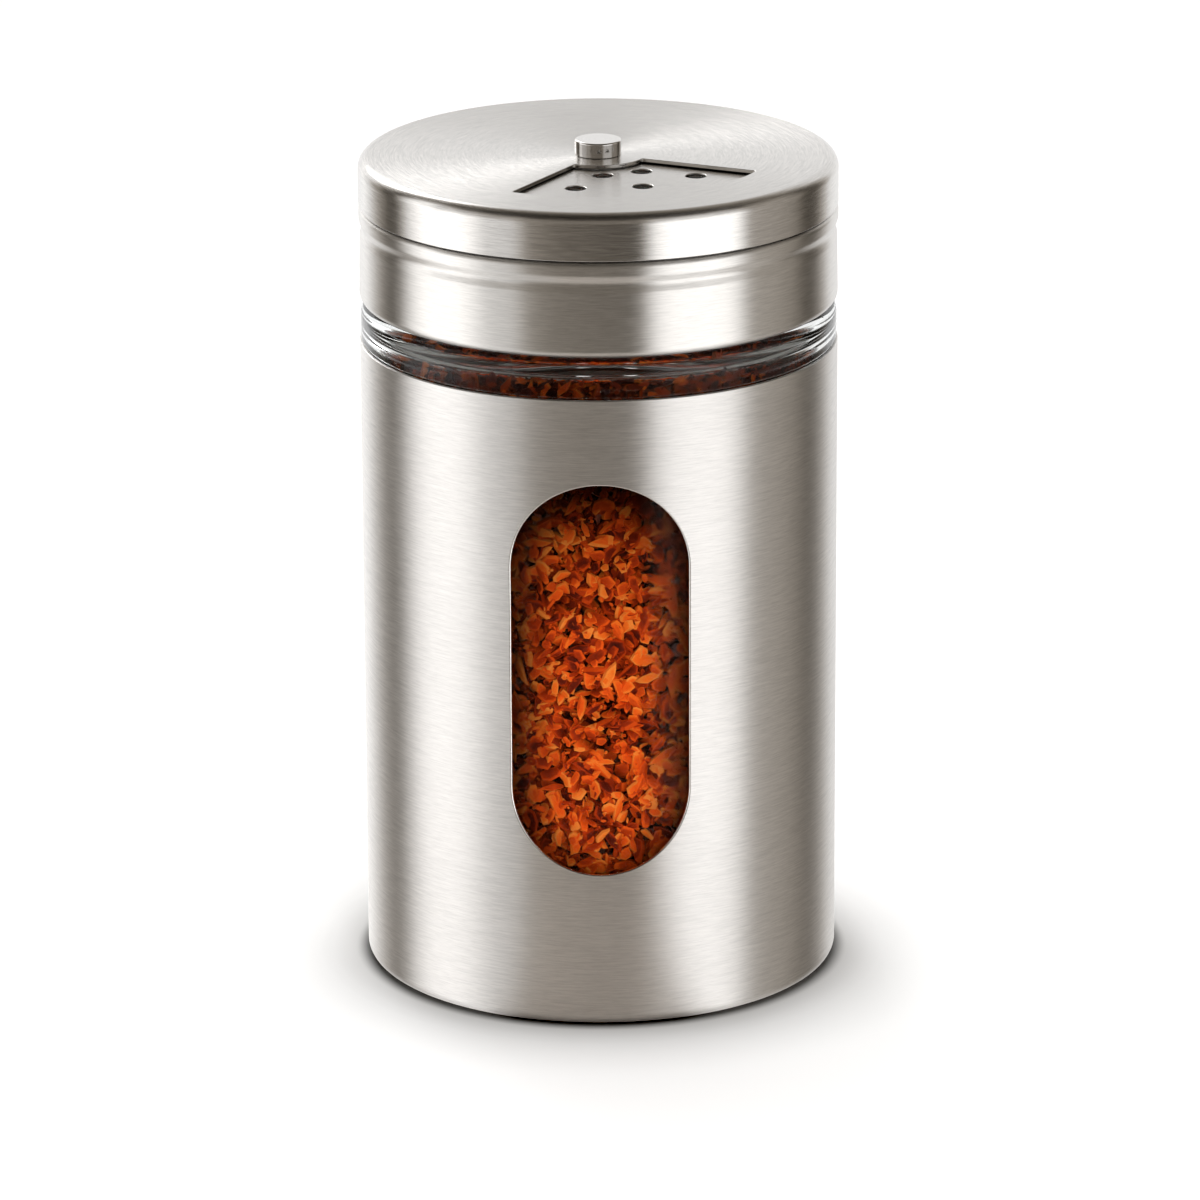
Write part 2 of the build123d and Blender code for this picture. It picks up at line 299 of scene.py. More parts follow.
def area_lamp(name, place, size, power):
    """A square soft lamp that looks at the middle of the shaker, and that steel doesn't mirror."""
    lamp = bpy.data.objects.new(name, bpy.data.lights.new(name, "AREA"))
    lamp.data.size = size
    lamp.data.energy = power
    lamp.location = place
    middle = (cad_box[0] + cad_box[1]) / 2
    lamp.rotation_euler = (Vector(place) - middle).to_track_quat("Z", "Y").to_euler()
    lamp.visible_glossy = False
    scene.collection.objects.link(lamp)
    return lamp


for lamp_name, (place, size, power) in LAMPS.items():
    area_lamp(lamp_name, place, size, power)
print("lamps:", ", ".join(LAMPS))

# %% [markdown]
# ## The floor
# The floor is white and keeps the shaker's soft shadow. Near the shaker its glow fades out, which deepens the
# shadow as painted shadow, and a thin line of painted shadow lies where the sleeve stands. The steel mirrors
# the floor close to the shaker, tinted warmer there as a painted reflection. Further out the floor lets the
# steel see the studio, which is painted as if there were no floor.

# %% Floor
FLOOR_RADIUS = 600 * mm
FLOOR_GREY = (0.75, 0.75, 0.75)
# Where steel mirrors it, the floor takes this warmer colour: a painted reflection tint.
FLOOR_IN_GLOSS = (0.88, 0.82, 0.76)
# A thin ring of painted shadow darkens the floor where the sleeve stands, to this share of its colour.
PAINTED_CONTACT_SHADOW = 0.22
PAINTED_CONTACT_RADII = (31 * mm, 33.3 * mm)
# The glow is zero next to the shaker and rises outward, so the floor is darker close by: painted shadow.
FLOOR_GLOW_AND_PAINTED_SHADOW = [(32, 0.0), (37, 0.23), (42, 0.35), (49, 0.45), (599, 0.45)]
FLOOR_IN_STEEL = [(33, 1.0), (44, 0.95), (62, 0.9), (100, 0.6), (160, 0.13), (230, 0.0), (380, 0.0)]
FLOOR_FRONT = (math.radians(18), math.radians(34))
FLOOR_AT_SIDES = 0.12


def floor_material():
    """White, with a soft shadow and painted shadow near the shaker. Gloss sees the floor near it, then the
    studio.
    """
    material = bpy.data.materials.new("floor_white")
    material.use_nodes = True
    tree = material.node_tree
    tree.nodes.clear()
    path = tree.nodes.new("ShaderNodeLightPath")
    in_gloss, to_camera = path.outputs["Is Glossy Ray"], path.outputs["Is Camera Ray"]
    place = object_place(tree)
    distance = vector_node(tree, "LENGTH", place)
    # Painted contact shadow: the floor's colour is darkened right round the sleeve's foot.
    painted_contact_shadow = rescale(tree, distance, PAINTED_CONTACT_RADII, (PAINTED_CONTACT_SHADOW, 1.0), soft=True)
    # The floor is warmer where steel mirrors it: a painted reflection tint.
    tint = colours(tree, in_gloss, (0.0, *FLOOR_GREY), (1.0, *FLOOR_IN_GLOSS))
    matt = add_node(tree, "ShaderNodeBsdfDiffuse", Color=vector_node(tree, "SCALE", tint, painted_contact_shadow))
    share_out = math_node(tree, "DIVIDE", distance, FLOOR_RADIUS)
    # The glow fades out near the shaker: painted shadow round its foot.
    glow_and_painted_shadow, in_steel = (
        curve_through(tree, share_out, [(radius * mm / FLOOR_RADIUS, value) for radius, value in places])
        for places in (FLOOR_GLOW_AND_PAINTED_SHADOW, FLOOR_IN_STEEL)
    )
    glowing = add_node(tree, "ShaderNodeEmission", Strength=math_node(tree, "MULTIPLY", to_camera, glow_and_painted_shadow))
    both = in_order(tree, "ShaderNodeAddShader", matt.outputs[0], glowing.outputs[0])
    turn = math_node(tree, "ABSOLUTE", bearing(tree, place))
    at_front = rescale(tree, turn, FLOOR_FRONT, (1.0, FLOOR_AT_SIDES), soft=True)
    beyond = math_node(tree, "SUBTRACT", 1.0, math_node(tree, "MULTIPLY", in_steel, at_front))
    clear = tree.nodes.new("ShaderNodeBsdfTransparent").outputs[0]
    choice = in_order(tree, "ShaderNodeMixShader", math_node(tree, "MULTIPLY", in_gloss, beyond), both, clear)
    add_node(tree, "ShaderNodeOutputMaterial", Surface=choice)
    return material


def round_floor(radius, steps=96):
    """A flat disc for the shaker to stand on."""
    mesh = bpy.data.meshes.new("floor")
    turns = [math.tau * i / steps for i in range(steps)]
    mesh.from_pydata([(radius * math.cos(a), radius * math.sin(a), 0) for a in turns], [], [range(steps)])
    mesh.materials.append(floor_material())
    floor = bpy.data.objects.new("floor", mesh)
    scene.collection.objects.link(floor)
    return floor


print("stands on:", round_floor(FLOOR_RADIUS).name)

# %% [markdown]
# ## Finishes
# Brushing runs round the shaker, on the sleeve, the lid's walls and its flat top alike. One node group
# makes streaks that follow a circle about the axis, for every brushed piece. A second group makes soft
# uneven patches, like the marks that handling leaves.

# %% Shared finish groups


def node_group(name, inputs, output):
    """An empty shader group with named value inputs and one output, and its input and output nodes."""
    group = bpy.data.node_groups.new(name, "ShaderNodeTree")
    for label, value in inputs.items():
        socket = group.interface.new_socket(label, in_out="INPUT", socket_type="NodeSocketFloat")
        socket.default_value = value
    group.interface.new_socket(output, in_out="OUTPUT", socket_type="NodeSocketFloat")
    return group, group.nodes.new("NodeGroupInput").outputs, group.nodes.new("NodeGroupOutput").inputs[0]


def strengthened(group, noise, strength):
    """A noise about its middle value, made stronger or weaker."""
    centred = math_node(group, "SUBTRACT", noise.outputs[0], 0.5)
    return math_node(group, "ADD", math_node(group, "MULTIPLY", centred, strength), 0.5)


def circular_streaks():
    """Streaks that run round the Z axis: long along the circle, fine across it, on walls and flats alike."""
    inputs = {"Along": 3.0, "Across": 9000.0, "Contrast": 1.0}
    group, given, made = node_group("circular_streaks", inputs, "Streaks")
    place = object_place(group)
    flat = vector_node(group, "MULTIPLY", place, (1, 1, 0))
    heading = split(group, vector_node(group, "NORMALIZE", flat))
    along = [math_node(group, "MULTIPLY", side, given["Along"]) for side in heading[:2]]
    up = math_node(group, "MULTIPLY", split(group, place)[2], given["Across"])
    outwards = math_node(group, "MULTIPLY", vector_node(group, "LENGTH", flat), given["Across"])
    noise = add_node(
        group, "ShaderNodeTexNoise", noise_dimensions="4D", Scale=1.0, Detail=4.0, Roughness=0.65,
        Vector=in_order(group, "ShaderNodeCombineXYZ", *along, up), W=outwards,
    )
    feed(group, made, strengthened(group, noise, given["Contrast"]))
    return group


def handling_patches():
    """Soft uneven patches, from 0 to 1, for smudges and slight wear."""
    group, given, made = node_group("handling_patches", {"Scale": 40.0, "Sharpness": 1.0}, "Patches")
    place = object_place(group)
    noise = add_node(group, "ShaderNodeTexNoise", Detail=3.0, Vector=place, Scale=given["Scale"])
    feed(group, made, strengthened(group, noise, given["Sharpness"]))
    return group


STREAKS = circular_streaks()
PATCHES = handling_patches()
print("groups:", STREAKS.name, PATCHES.name)

# %% Building blocks for materials


def new_material(name):
    """A material with a Principled BSDF, and its tree and shader."""
    material = bpy.data.materials.new(name)
    material.use_nodes = True
    tree = material.node_tree
    return material, tree, tree.nodes["Principled BSDF"]


def place_group(tree, group, **values):
    """What a shader group puts out in a material, with its inputs set by name."""
    return add_node(tree, "ShaderNodeGroup", node_tree=group, **values).outputs[0]


def spread(tree, value, low, high):
    """Takes a value from 0..1 to low..high."""
    return rescale(tree, value, (0.0, 1.0), (low, high))


def varied(tree, value, middle, by):
    """Takes a value from 0..1 to as much below and above a middle."""
    return spread(tree, value, middle - by, middle + by)


def attribute(tree, name):
    """A number that the mesh keeps for each point."""
    return add_node(tree, "ShaderNodeAttribute", attribute_name=name).outputs["Fac"]


def bump(tree, shader, height, distance):
    """Feeds a height to the shader's normal, as relief of the given distance."""
    relief = add_node(tree, "ShaderNodeBump", Height=height, Distance=distance, Strength=1.0)
    feed_inputs(tree, shader, Normal=relief.outputs[0])


print("material helpers ready")

# %% [markdown]
# ## Brushed steel
# Brushing scatters light across its lines, so a highlight on the wall is drawn up and down. The shader's
# anisotropy does that for the broad bands, and the streak group adds the fine lines themselves, in colour,
# roughness and a slight relief.

# %% Brushed and polished steel
CUT_ROUGHNESS = 0.18
ACROSS_THE_LINES = 0.25
GROOVE_TONE, RIDGE_TONE = 0.86, 1.12


def brushed_steel(name, tint, roughness, stretch, relief):
    """Steel brushed round the axis, with bare smooth metal where the attribute "cut" marks a cut edge."""
    material, tree, shader = new_material(name)
    streaks = place_group(tree, STREAKS, Along=12.0, Across=7000.0, Contrast=1.6)
    patches = place_group(tree, PATCHES, Scale=55.0, Sharpness=1.4)
    dark = [channel * GROOVE_TONE for channel in tint]
    light = [channel * RIDGE_TONE for channel in tint]
    cut = attribute(tree, "cut")
    worn = math_node(tree, "ADD", varied(tree, streaks, 0.0, 0.05), varied(tree, patches, 0.0, 0.02))
    brushed = math_node(tree, "ADD", worn, roughness)
    feed_inputs(
        tree, shader, Metallic=1.0, Base_Color=colours(tree, streaks, (0.25, *dark), (0.75, *light)),
        Roughness=blend(tree, cut, brushed, CUT_ROUGHNESS), Anisotropic=blend(tree, cut, stretch, 0.0),
        Anisotropic_Rotation=ACROSS_THE_LINES,
    )
    bump(tree, shader, streaks, relief)
    return material


def polished_steel(name, roughness):
    """Bright turned steel with faint rings from the lathe."""
    material, tree, shader = new_material(name)
    rings = place_group(tree, STREAKS, Along=0.4, Across=14000.0, Contrast=1.0)
    tint = colours(tree, rings, (0.3, 0.6, 0.58, 0.56), (0.7, 0.72, 0.7, 0.68))
    feed_inputs(tree, shader, Metallic=1.0, Base_Color=tint, Roughness=varied(tree, rings, roughness, 0.03))
    bump(tree, shader, rings, 0.0006 * mm)
    return material


# The lid's steel, and the cover's more so, are tinted darker than the sleeve's: painted shade for the dimmer
# light higher up.
SLEEVE_STEEL = brushed_steel("brushed_sleeve", (0.68, 0.66, 0.638), 0.42, 0.9, 0.002 * mm)
LID_STEEL = brushed_steel("brushed_lid", (0.62, 0.6, 0.575), 0.32, 0.9, 0.0015 * mm)
COVER_STEEL = brushed_steel("brushed_cover", (0.58, 0.56, 0.537), 0.23, 0.86, 0.001 * mm)
KNOB_STEEL = polished_steel("polished_steel", 0.1)
print("steel:", SLEEVE_STEEL.name, LID_STEEL.name, COVER_STEEL.name, KNOB_STEEL.name)

# %% [markdown]
# ## Glass, plastic and rubber
# The glass is clear and thick. Light has to reach the flakes through it, and a path tracer finds such light
# slowly, so the glass lets shadow rays pass. In the photograph the glass hardly gleams in the window, and
# more above the sleeve, so its gleam follows the height. The plastics and rubbers are seen when the lid is
# lifted.

# %% Glass, plastic and rubber
SLEEVE_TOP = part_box("sleeve")[1].z
GLEAM_RISE = (SLEEVE_TOP + 1.5 * mm, SLEEVE_TOP + 3.2 * mm)
GLEAM = (0.05, 0.25)


def clear_glass(name):
    """Clear glass with a faint unevenness, open to the rays that light what is inside."""
    material, tree, shader = new_material(name)
    waves = place_group(tree, PATCHES, Scale=28.0, Sharpness=1.0)
    feed_inputs(
        tree, shader, Base_Color=(0.97, 0.985, 0.98, 1), Roughness=spread(tree, waves, 0.0, 0.012),
        Transmission_Weight=1.0, IOR=1.5,
        Specular_Tint=rescale(tree, split(tree, object_place(tree))[2], GLEAM_RISE, GLEAM),
    )
    bump(tree, shader, waves, 0.008 * mm)
    passing = add_node(tree, "ShaderNodeBsdfTransparent", Color=(0.93, 0.95, 0.94, 1))
    path = tree.nodes.new("ShaderNodeLightPath")
    soft = math_node(tree, "MAXIMUM", path.outputs["Is Shadow Ray"], path.outputs["Is Diffuse Ray"])
    choice = in_order(tree, "ShaderNodeMixShader", soft, shader.outputs[0], passing.outputs[0])
    feed_inputs(tree, tree.nodes["Material Output"], Surface=choice)
    return material


def moulded(name, dark, light, roughness, grain):
    """Moulded plastic or rubber: an even colour with slight patches and a fine grain."""
    material, tree, shader = new_material(name)
    patches = place_group(tree, PATCHES, Scale=90.0, Sharpness=1.2)
    fine = place_group(tree, PATCHES, Scale=2600.0, Sharpness=1.0)
    tint = colours(tree, patches, (0.3, *dark), (0.7, *light))
    feed_inputs(tree, shader, Base_Color=tint, Roughness=varied(tree, patches, roughness, 0.06))
    bump(tree, shader, fine, grain)
    return material


GLASS = clear_glass("clear_glass")
INSERT_PLASTIC = moulded("insert_plastic", (0.76, 0.76, 0.73), (0.84, 0.84, 0.82), 0.42, 0.01 * mm)
WASHER_PLASTIC = moulded("washer_plastic", (0.72, 0.71, 0.67), (0.8, 0.79, 0.76), 0.38, 0.006 * mm)
SEAL_RUBBER = moulded("seal_rubber", (0.7, 0.7, 0.68), (0.8, 0.8, 0.78), 0.62, 0.02 * mm)
CUSHION_RUBBER = moulded("cushion_rubber", (0.05, 0.05, 0.05), (0.09, 0.09, 0.09), 0.75, 0.05 * mm)
print("other finishes:", GLASS.name, INSERT_PLASTIC.name, SEAL_RUBBER.name)

# %% [markdown]
# ## How a turned shape is made
# Sleeve, jar, lid and knob are all turned shapes: a half section goes once round the axis. The section is
# written as its corners, each with a rounding, in the order that keeps the material on the left. The code
# bends the corners, works out the true normal at each point, and spins the line. Because the normals come
# from the section itself, a long straight wall shades straight right up to its rounded edge, which matters
# on brushed steel.

# %% Section lines
ARC_STEP = math.radians(10)
SHARP = 0.03 * mm
NO_TURN = 1e-6


def bent_line(corners, closed):
    """Points and normals (radius, height, normal out, normal up) along corners (radius, height, rounding)."""
    line = []
    count = len(corners)
    for i, (radius, height, rounding) in enumerate(corners):
        here = Vector((radius, height))
        before = here - Vector(corners[i - 1][:2])
        after = Vector(corners[(i + 1) % count][:2]) - here
        if not closed and i == 0:
            before = after
        if not closed and i == count - 1:
            after = before
        if closed and radius == 0:
            before, after = (after, after) if i == 0 else (before, before)
        start, end = before.normalized(), after.normalized()
        turn = math.atan2(start.x * end.y - start.y * end.x, start.dot(end))
        if abs(turn) < NO_TURN:
            line.append((radius, height, start.y, -start.x))
            continue
        rounding = max(rounding, SHARP)
        side = math.copysign(rounding, turn)
        first = here - start * abs(rounding * math.tan(turn / 2))
        centre = first - Vector((start.y, -start.x)) * side
        steps = max(2, math.ceil(abs(turn) / ARC_STEP))
        for step in range(steps + 1):
            angle = turn * step / steps
            normal_x = start.y * math.cos(angle) + start.x * math.sin(angle)
            normal_y = -start.x * math.cos(angle) + start.y * math.sin(angle)
            line.append((centre.x + side * normal_x, centre.y + side * normal_y, normal_x, normal_y))
    return line


print("section lines: arcs in steps of", round(math.degrees(ARC_STEP)), "degrees")

# %% Gathering points and faces
TURN_STEPS = 192
FEWER_STEPS = 96
ON_AXIS = 1e-9


class Shape:
    """Points, their true normals and the faces between them, gathered into one mesh."""

    def __init__(self):
        self.points, self.normals, self.faces, self.cut = [], [], [], []

    def ring(self, points, normals, cut=0.0):
        """Adds a row of points, marked 1 where they lie on a cut edge, and gives their numbers."""
        first = len(self.points)
        self.points += [tuple(p) for p in points]
        self.normals += [tuple(n) for n in normals]
        self.cut += [cut] * len(points)
        return list(range(first, len(self.points)))

    def band(self, low, high, gap=0):
        """Faces between two rings of points, after a gap. A ring of one point closes to a pole."""
        for i in range(gap, max(len(low), len(high))):
            j = i + 1
            corners = [low[i % len(low)], low[j % len(low)], high[j % len(high)], high[i % len(high)]]
            kept = [c for n, c in enumerate(corners) if c not in corners[:n]]
            self.faces.append(kept)

    def turn(self, line, angles, closed=True, gap=0, gap_rows=()):
        """Spins a section line, and gives its rings. In gap_rows the first few columns stay open."""
        rings = []
        for radius, height, out, up in line:
            if radius < ON_AXIS:
                rings.append(self.ring([(0, 0, height)], [(0, 0, math.copysign(1, up))]))
                continue
            points = [(radius * math.cos(a), radius * math.sin(a), height) for a in angles]
            normals = [(out * math.cos(a), out * math.sin(a), up) for a in angles]
            rings.append(self.ring(points, normals))
        following = rings[1:] + rings[:1] if closed else rings[1:]
        for row, (low, high) in enumerate(zip(rings, following)):
            if len(low) > 1 or len(high) > 1:
                self.band(low, high, gap if row in gap_rows else 0)
        return rings

    def build(self, name, material):
        """Makes the mesh object, smooth, with the true normals."""
        mesh = bpy.data.meshes.new(name)
        mesh.from_pydata(self.points, [], self.faces)
        mesh.polygons.foreach_set("use_smooth", [True] * len(mesh.polygons))
        mesh.normals_split_custom_set_from_vertices(self.normals)
        mesh.attributes.new("cut", "FLOAT", "POINT").data.foreach_set("value", self.cut)
        mesh.materials.append(material)
        piece = bpy.data.objects.new(name, mesh)
        scene.collection.objects.link(piece)
        return piece


def even_angles(steps):
    """Angles once round, evenly spaced."""
    return [math.tau * i / steps for i in range(steps)]


def turned_piece(line, name, material, steps=TURN_STEPS, closed=True):
    """A section line spun once round the axis, as a mesh object."""
    shape = Shape()
    shape.turn(line, even_angles(steps), closed)
    return shape.build(name, material)


def finish_piece(piece, body, slot, *nodes):
    """Lets a piece ride on its body and stand for its nodes, which are hidden. The slot is not used."""
    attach(piece, body)
    if nodes:
        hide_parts(*nodes)
    print(piece.name, "on", body, "-", len(piece.data.polygons), "faces")


print("shape builder ready,", TURN_STEPS, "steps round")

# %% [markdown]
# ## The sleeve
# The real sleeve is one drawn steel cup. Its window's edge is slightly rounded at the outside, and catches
# a thin line of light. A boolean cut would leave ragged shading on a brushed wall, so the wall is built
# round the window instead: a grid of quads with a rectangle left out, rings of quads that run from the
# rectangle to the window's edge, and a few narrow rings that turn over the edge. Points are placed by their
# distance along the unrolled wall and their height.

# %% Sheet steel with rounded cut edges
SHEET = 0.5 * mm
EDGE_ROUNDING = 0.12 * mm
EDGE_STEPS = 4


def quarter(step):
    """Cosine and sine of a step along a quarter turn."""
    angle = math.pi / 2 * step / EDGE_STEPS
    return math.cos(angle), math.sin(angle)


def rounded_edge(point, sheet, forward):
    """The two small roundings at the end of a sheet, from its outside to its inside."""
    radius, height, out, up = point
    normal, ahead = Vector((out, up)), Vector((-up, out)) * forward
    start = Vector((radius, height)) - ahead * EDGE_ROUNDING
    edge = []
    for depth, first, second in ((EDGE_ROUNDING, normal, ahead), (sheet - EDGE_ROUNDING, ahead, -normal)):
        centre = start - normal * depth
        for step in range(EDGE_STEPS + 1):
            cosine, sine = quarter(step)
            way = first * cosine + second * sine
            edge.append((*(centre + way * EDGE_ROUNDING), *way))
    return edge


def sheet_line(corners, sheet, flat_end=False):
    """The section of a drawn shell: the outside through corners, its cut edges, and one sheet inwards.

    With flat_end the section is left open where the outside ends, for a flat top to be filled in."""
    outside = bent_line(corners, False)
    inside = [(r - sheet * out, z - sheet * up, -out, -up) for r, z, out, up in reversed(outside)]
    head = [outside[0]] if outside[0][0] == 0 else rounded_edge(outside[0], sheet, -1)[::-1]
    if flat_end:
        return inside[:-1] + head + outside[1:]
    tail = rounded_edge(outside[-1], sheet, 1)
    return head + outside[1:-1] + tail + inside[1:-1] + (inside[-1:] if outside[0][0] == 0 else [])


def cut_edge(thickness, outside, inside):
    """Turns over the edge of a hole: (distance from the hole, depth, normal away, normal out)."""
    rows = []
    for step in range(EDGE_STEPS + 1):
        cosine, sine = quarter(step)
        rows.append((outside * (1 - sine), outside * (1 - cosine), -sine, cosine))
    for step in range(EDGE_STEPS + 1):
        cosine, sine = quarter(step)
        rows.append((inside * (1 - cosine), thickness - inside * (1 - sine), -cosine, -sine))
    return rows


def in_mm(*corners):
    """Section corners given in millimetres, in metres."""
    return [tuple(value * mm for value in corner) for corner in corners]


print("sheet", SHEET / mm, "mm, cut edges rounded by", EDGE_ROUNDING / mm, "mm")

# %% Window outline on the unrolled wall
SLEEVE_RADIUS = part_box("sleeve")[1].x
WINDOW_HALF_WIDTH = 11.6 * mm
WINDOW_STRAIGHT = 14.95 * mm
WINDOW_MIDDLE = SLEEVE_TOP - 37.9 * mm
WINDOW_ROUNDING = 0.2 * mm
FRAME_HALF_HEIGHT = 33.0 * mm
FRAME_COLUMNS = 32
CORNER_ROWS = 4
STRAIGHT_ROWS = 12


def window_outline():
    """The window's edge, counter-clockwise from the foot of its left side: (along, height, normal)."""
    arc_steps = FRAME_COLUMNS + 2 * CORNER_ROWS
    edge = []
    for side in (-1, 1):
        for step in range(arc_steps):
            angle = math.pi * step / arc_steps + (math.pi if side < 0 else 0)
            x = WINDOW_HALF_WIDTH * math.cos(angle)
            height = WINDOW_MIDDLE + side * WINDOW_STRAIGHT + WINDOW_HALF_WIDTH * math.sin(angle)
            turn = math.asin(x / SLEEVE_RADIUS)
            normal = Vector((math.cos(angle), math.sin(angle) / math.cos(turn))).normalized()
            edge.append((SLEEVE_RADIUS * turn, height, normal))
        turn = math.asin(WINDOW_HALF_WIDTH / SLEEVE_RADIUS)
        for step in range(STRAIGHT_ROWS):
            height = WINDOW_MIDDLE - side * WINDOW_STRAIGHT * (2 * step / STRAIGHT_ROWS - 1)
            edge.append((-side * SLEEVE_RADIUS * turn, height, Vector((-side, 0))))
    return edge[CORNER_ROWS:] + edge[:CORNER_ROWS]


def frame_rows():
    """Heights of the grid rows beside the window."""
    low, high = WINDOW_MIDDLE - FRAME_HALF_HEIGHT, WINDOW_MIDDLE - WINDOW_STRAIGHT
    corner = [low + (high - low) * i / CORNER_ROWS for i in range(CORNER_ROWS)]
    straight = [high + 2 * WINDOW_STRAIGHT * i / STRAIGHT_ROWS for i in range(STRAIGHT_ROWS + 1)]
    return corner + straight + [2 * WINDOW_MIDDLE - height for height in reversed(corner)]


print("window outline of", len(window_outline()), "points beside", len(frame_rows()), "rows")

# %% Sleeve
sleeve_top = SLEEVE_TOP / mm
widest = round(SLEEVE_RADIUS / mm, 3)
SLEEVE_CORNERS = in_mm(
    (0, 0.8, 0), (24.3, 0.8, 0.8), (25.5, 0, 0.3), (widest, 0, 1.5), (widest, sleeve_top, 0)
)
PATCH_RINGS = 5
INNER_EDGE_ROUNDING = 0.06 * mm
SAME_RADIUS = 0.05 * mm


def add_rows(line, radius, heights):
    """Adds rows to the long straight wall at radius. Gives the line and the rows' numbers, lowest first."""
    for n, (here, after) in enumerate(zip(line, line[1:])):
        upright = all(abs(point[0] - radius) < SAME_RADIUS for point in (here, after))
        if upright and abs(after[1] - here[1]) > 2 * FRAME_HALF_HEIGHT:
            rising = after[1] > here[1]
            rows = [(radius, height, *here[2:]) for height in (heights if rising else reversed(heights))]
            numbers = list(range(n + 1, n + 1 + len(heights)))
            return line[: n + 1] + rows + line[n + 1 :], numbers if rising else numbers[::-1]


def frame_loop(rows):
    """Point numbers round the rectangle that the grid leaves open, from its lower left corner."""
    right = [row[FRAME_COLUMNS] for row in rows[:-1]]
    left = [row[0] for row in rows[:0:-1]]
    return rows[0][:FRAME_COLUMNS] + right + rows[-1][FRAME_COLUMNS:0:-1] + left


def wall_ring(shape, places, radius, normals, cut=0.0):
    """A ring of points at (along, height) on the wall, with normals (out, along, up)."""
    points, directions = [], []
    for (along, height), (out, side, up) in zip(places, normals):
        turn = along / SLEEVE_RADIUS
        cosine, sine = math.cos(turn), math.sin(turn)
        points.append((radius * sine, -radius * cosine, height))
        directions.append((out * sine + side * cosine, -out * cosine + side * sine, up))
    return shape.ring(points, directions, cut)


def patch_ring(shape, frame_ids, edge, shift, share, radius, out):
    """A ring part of the way from the grid's rectangle to the window's edge, moved away from it by shift."""
    places = []
    for number, (along, height, normal) in zip(frame_ids, edge):
        x, y, z = shape.points[number]
        start = Vector((SLEEVE_RADIUS * math.atan2(x, -y), z))
        end = Vector((along, height)) + normal * shift
        places.append(start.lerp(end, share))
    return wall_ring(shape, places, radius, [(out, 0, 0)] * len(edge))


def make_sleeve():
    """The drawn cup with its window."""
    shape = Shape()
    step = math.tau / TURN_STEPS
    angles = [-math.pi / 2 + (i - FRAME_COLUMNS / 2) * step for i in range(TURN_STEPS)]
    heights = frame_rows()
    line, outer = add_rows(sheet_line(SLEEVE_CORNERS, SHEET), SLEEVE_RADIUS, heights)
    line, inner = add_rows(line, SLEEVE_RADIUS - SHEET, heights)
    open_rows = set(outer[:-1]) | set(inner[1:])
    rings = shape.turn(line, angles, gap=FRAME_COLUMNS, gap_rows=open_rows)
    edge = window_outline()
    outside = frame_loop([rings[row] for row in outer])
    inside = frame_loop([rings[row] for row in inner])
    shares = [i / PATCH_RINGS for i in range(1, PATCH_RINGS)]
    loops = [outside]
    for share in shares:
        loops.append(patch_ring(shape, outside, edge, WINDOW_ROUNDING, share, SLEEVE_RADIUS, 1))
    for offset, depth, away, out in cut_edge(SHEET, WINDOW_ROUNDING, INNER_EDGE_ROUNDING):
        places = [Vector((along, height)) + normal * offset for along, height, normal in edge]
        normals = [(out, away * normal.x, away * normal.y) for along, height, normal in edge]
        loops.append(wall_ring(shape, places, SLEEVE_RADIUS - depth, normals, cut=1.0 if depth > 0 else 0.0))
    for share in reversed(shares):
        loops.append(patch_ring(shape, inside, edge, INNER_EDGE_ROUNDING, share, SLEEVE_RADIUS - SHEET, -1))
    loops.append(inside)
    for low, high in zip(loops, loops[1:]):
        shape.band(low, high)
    return shape.build("sleeve_shell", SLEEVE_STEEL)


finish_piece(make_sleeve(), "jar", "brushed_sleeve", "sleeve")

# %% [markdown]
# ## The glass jar
# The jar is pressed glass: a thick floor with a push-up, a straight wall, a heavy shoulder bead that sits
# over the sleeve, and a neck. Both faces of the glass are turned in one closed section, because light bends
# at each face.

# %% Glass jar
JAR_RADIUS, JAR_BORE = 30.75, 28.0
BEAD_RADIUS = 31.35
NECK_RADIUS, MOUTH_RADIUS = 25.2, 22.8
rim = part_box("glass_jar")[1].z / mm
shoulder = rim - 13.9
ceiling = shoulder - 2.4
JAR_CORNERS = in_mm(
    (0, 3.0, 0), (23.0, 3.0, 1.0), (25.5, 2.0, 1.0), (JAR_RADIUS, 2.0, 2.0),
    (JAR_RADIUS, sleeve_top + 0.2, 0), (BEAD_RADIUS, sleeve_top + 0.2, 0.4), (BEAD_RADIUS, shoulder, 1.8),
    (NECK_RADIUS, shoulder, 1.0), (NECK_RADIUS, rim, 0.9), (MOUTH_RADIUS, rim, 0.9),
    (MOUTH_RADIUS, ceiling, 1.0), (JAR_BORE, ceiling, 2.6), (JAR_BORE, 7.0, 4.0), (0, 7.0, 0),
)
jar = turned_piece(bent_line(JAR_CORNERS, True), "jar_glass", GLASS)
finish_piece(jar, "jar", "clear_glass", "glass_jar")

# %% [markdown]
# ## The lid
# The cap is a drawn shell with an inturned lip, a pinched waist under a rolled bead, and a ledge that
# carries the sifter plate. The plate and the cover above it are flat discs with holes. Their flats are
# filled between the holes' edges by triangulation, which is safe on a flat face, and each hole's edge turns
# over in narrow rings.

# %% Screw cap
cap_low, cap_high = (corner.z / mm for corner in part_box("screw_cap"))
cover_low, cover_high = (corner.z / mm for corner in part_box("top_cover"))
bead_top = cover_low - 0.25
waist = bead_top - 2.85
CAP_CORNERS = in_mm(
    (29.8, cap_low, 0), (widest, cap_low, 1.0), (31.35, waist - 1.1, 1.2), (31.05, waist, 1.2),
    (widest, waist + 1.1, 1.2), (widest, bead_top, 0.65), (30.6, bead_top, 0.15), (30.6, cap_high, 0.65),
    (26.6, cap_high, 0),
)
cap = turned_piece(sheet_line(CAP_CORNERS, SHEET), "cap_shell", LID_STEEL)
finish_piece(cap, "lid", "brushed_lid", "screw_cap")

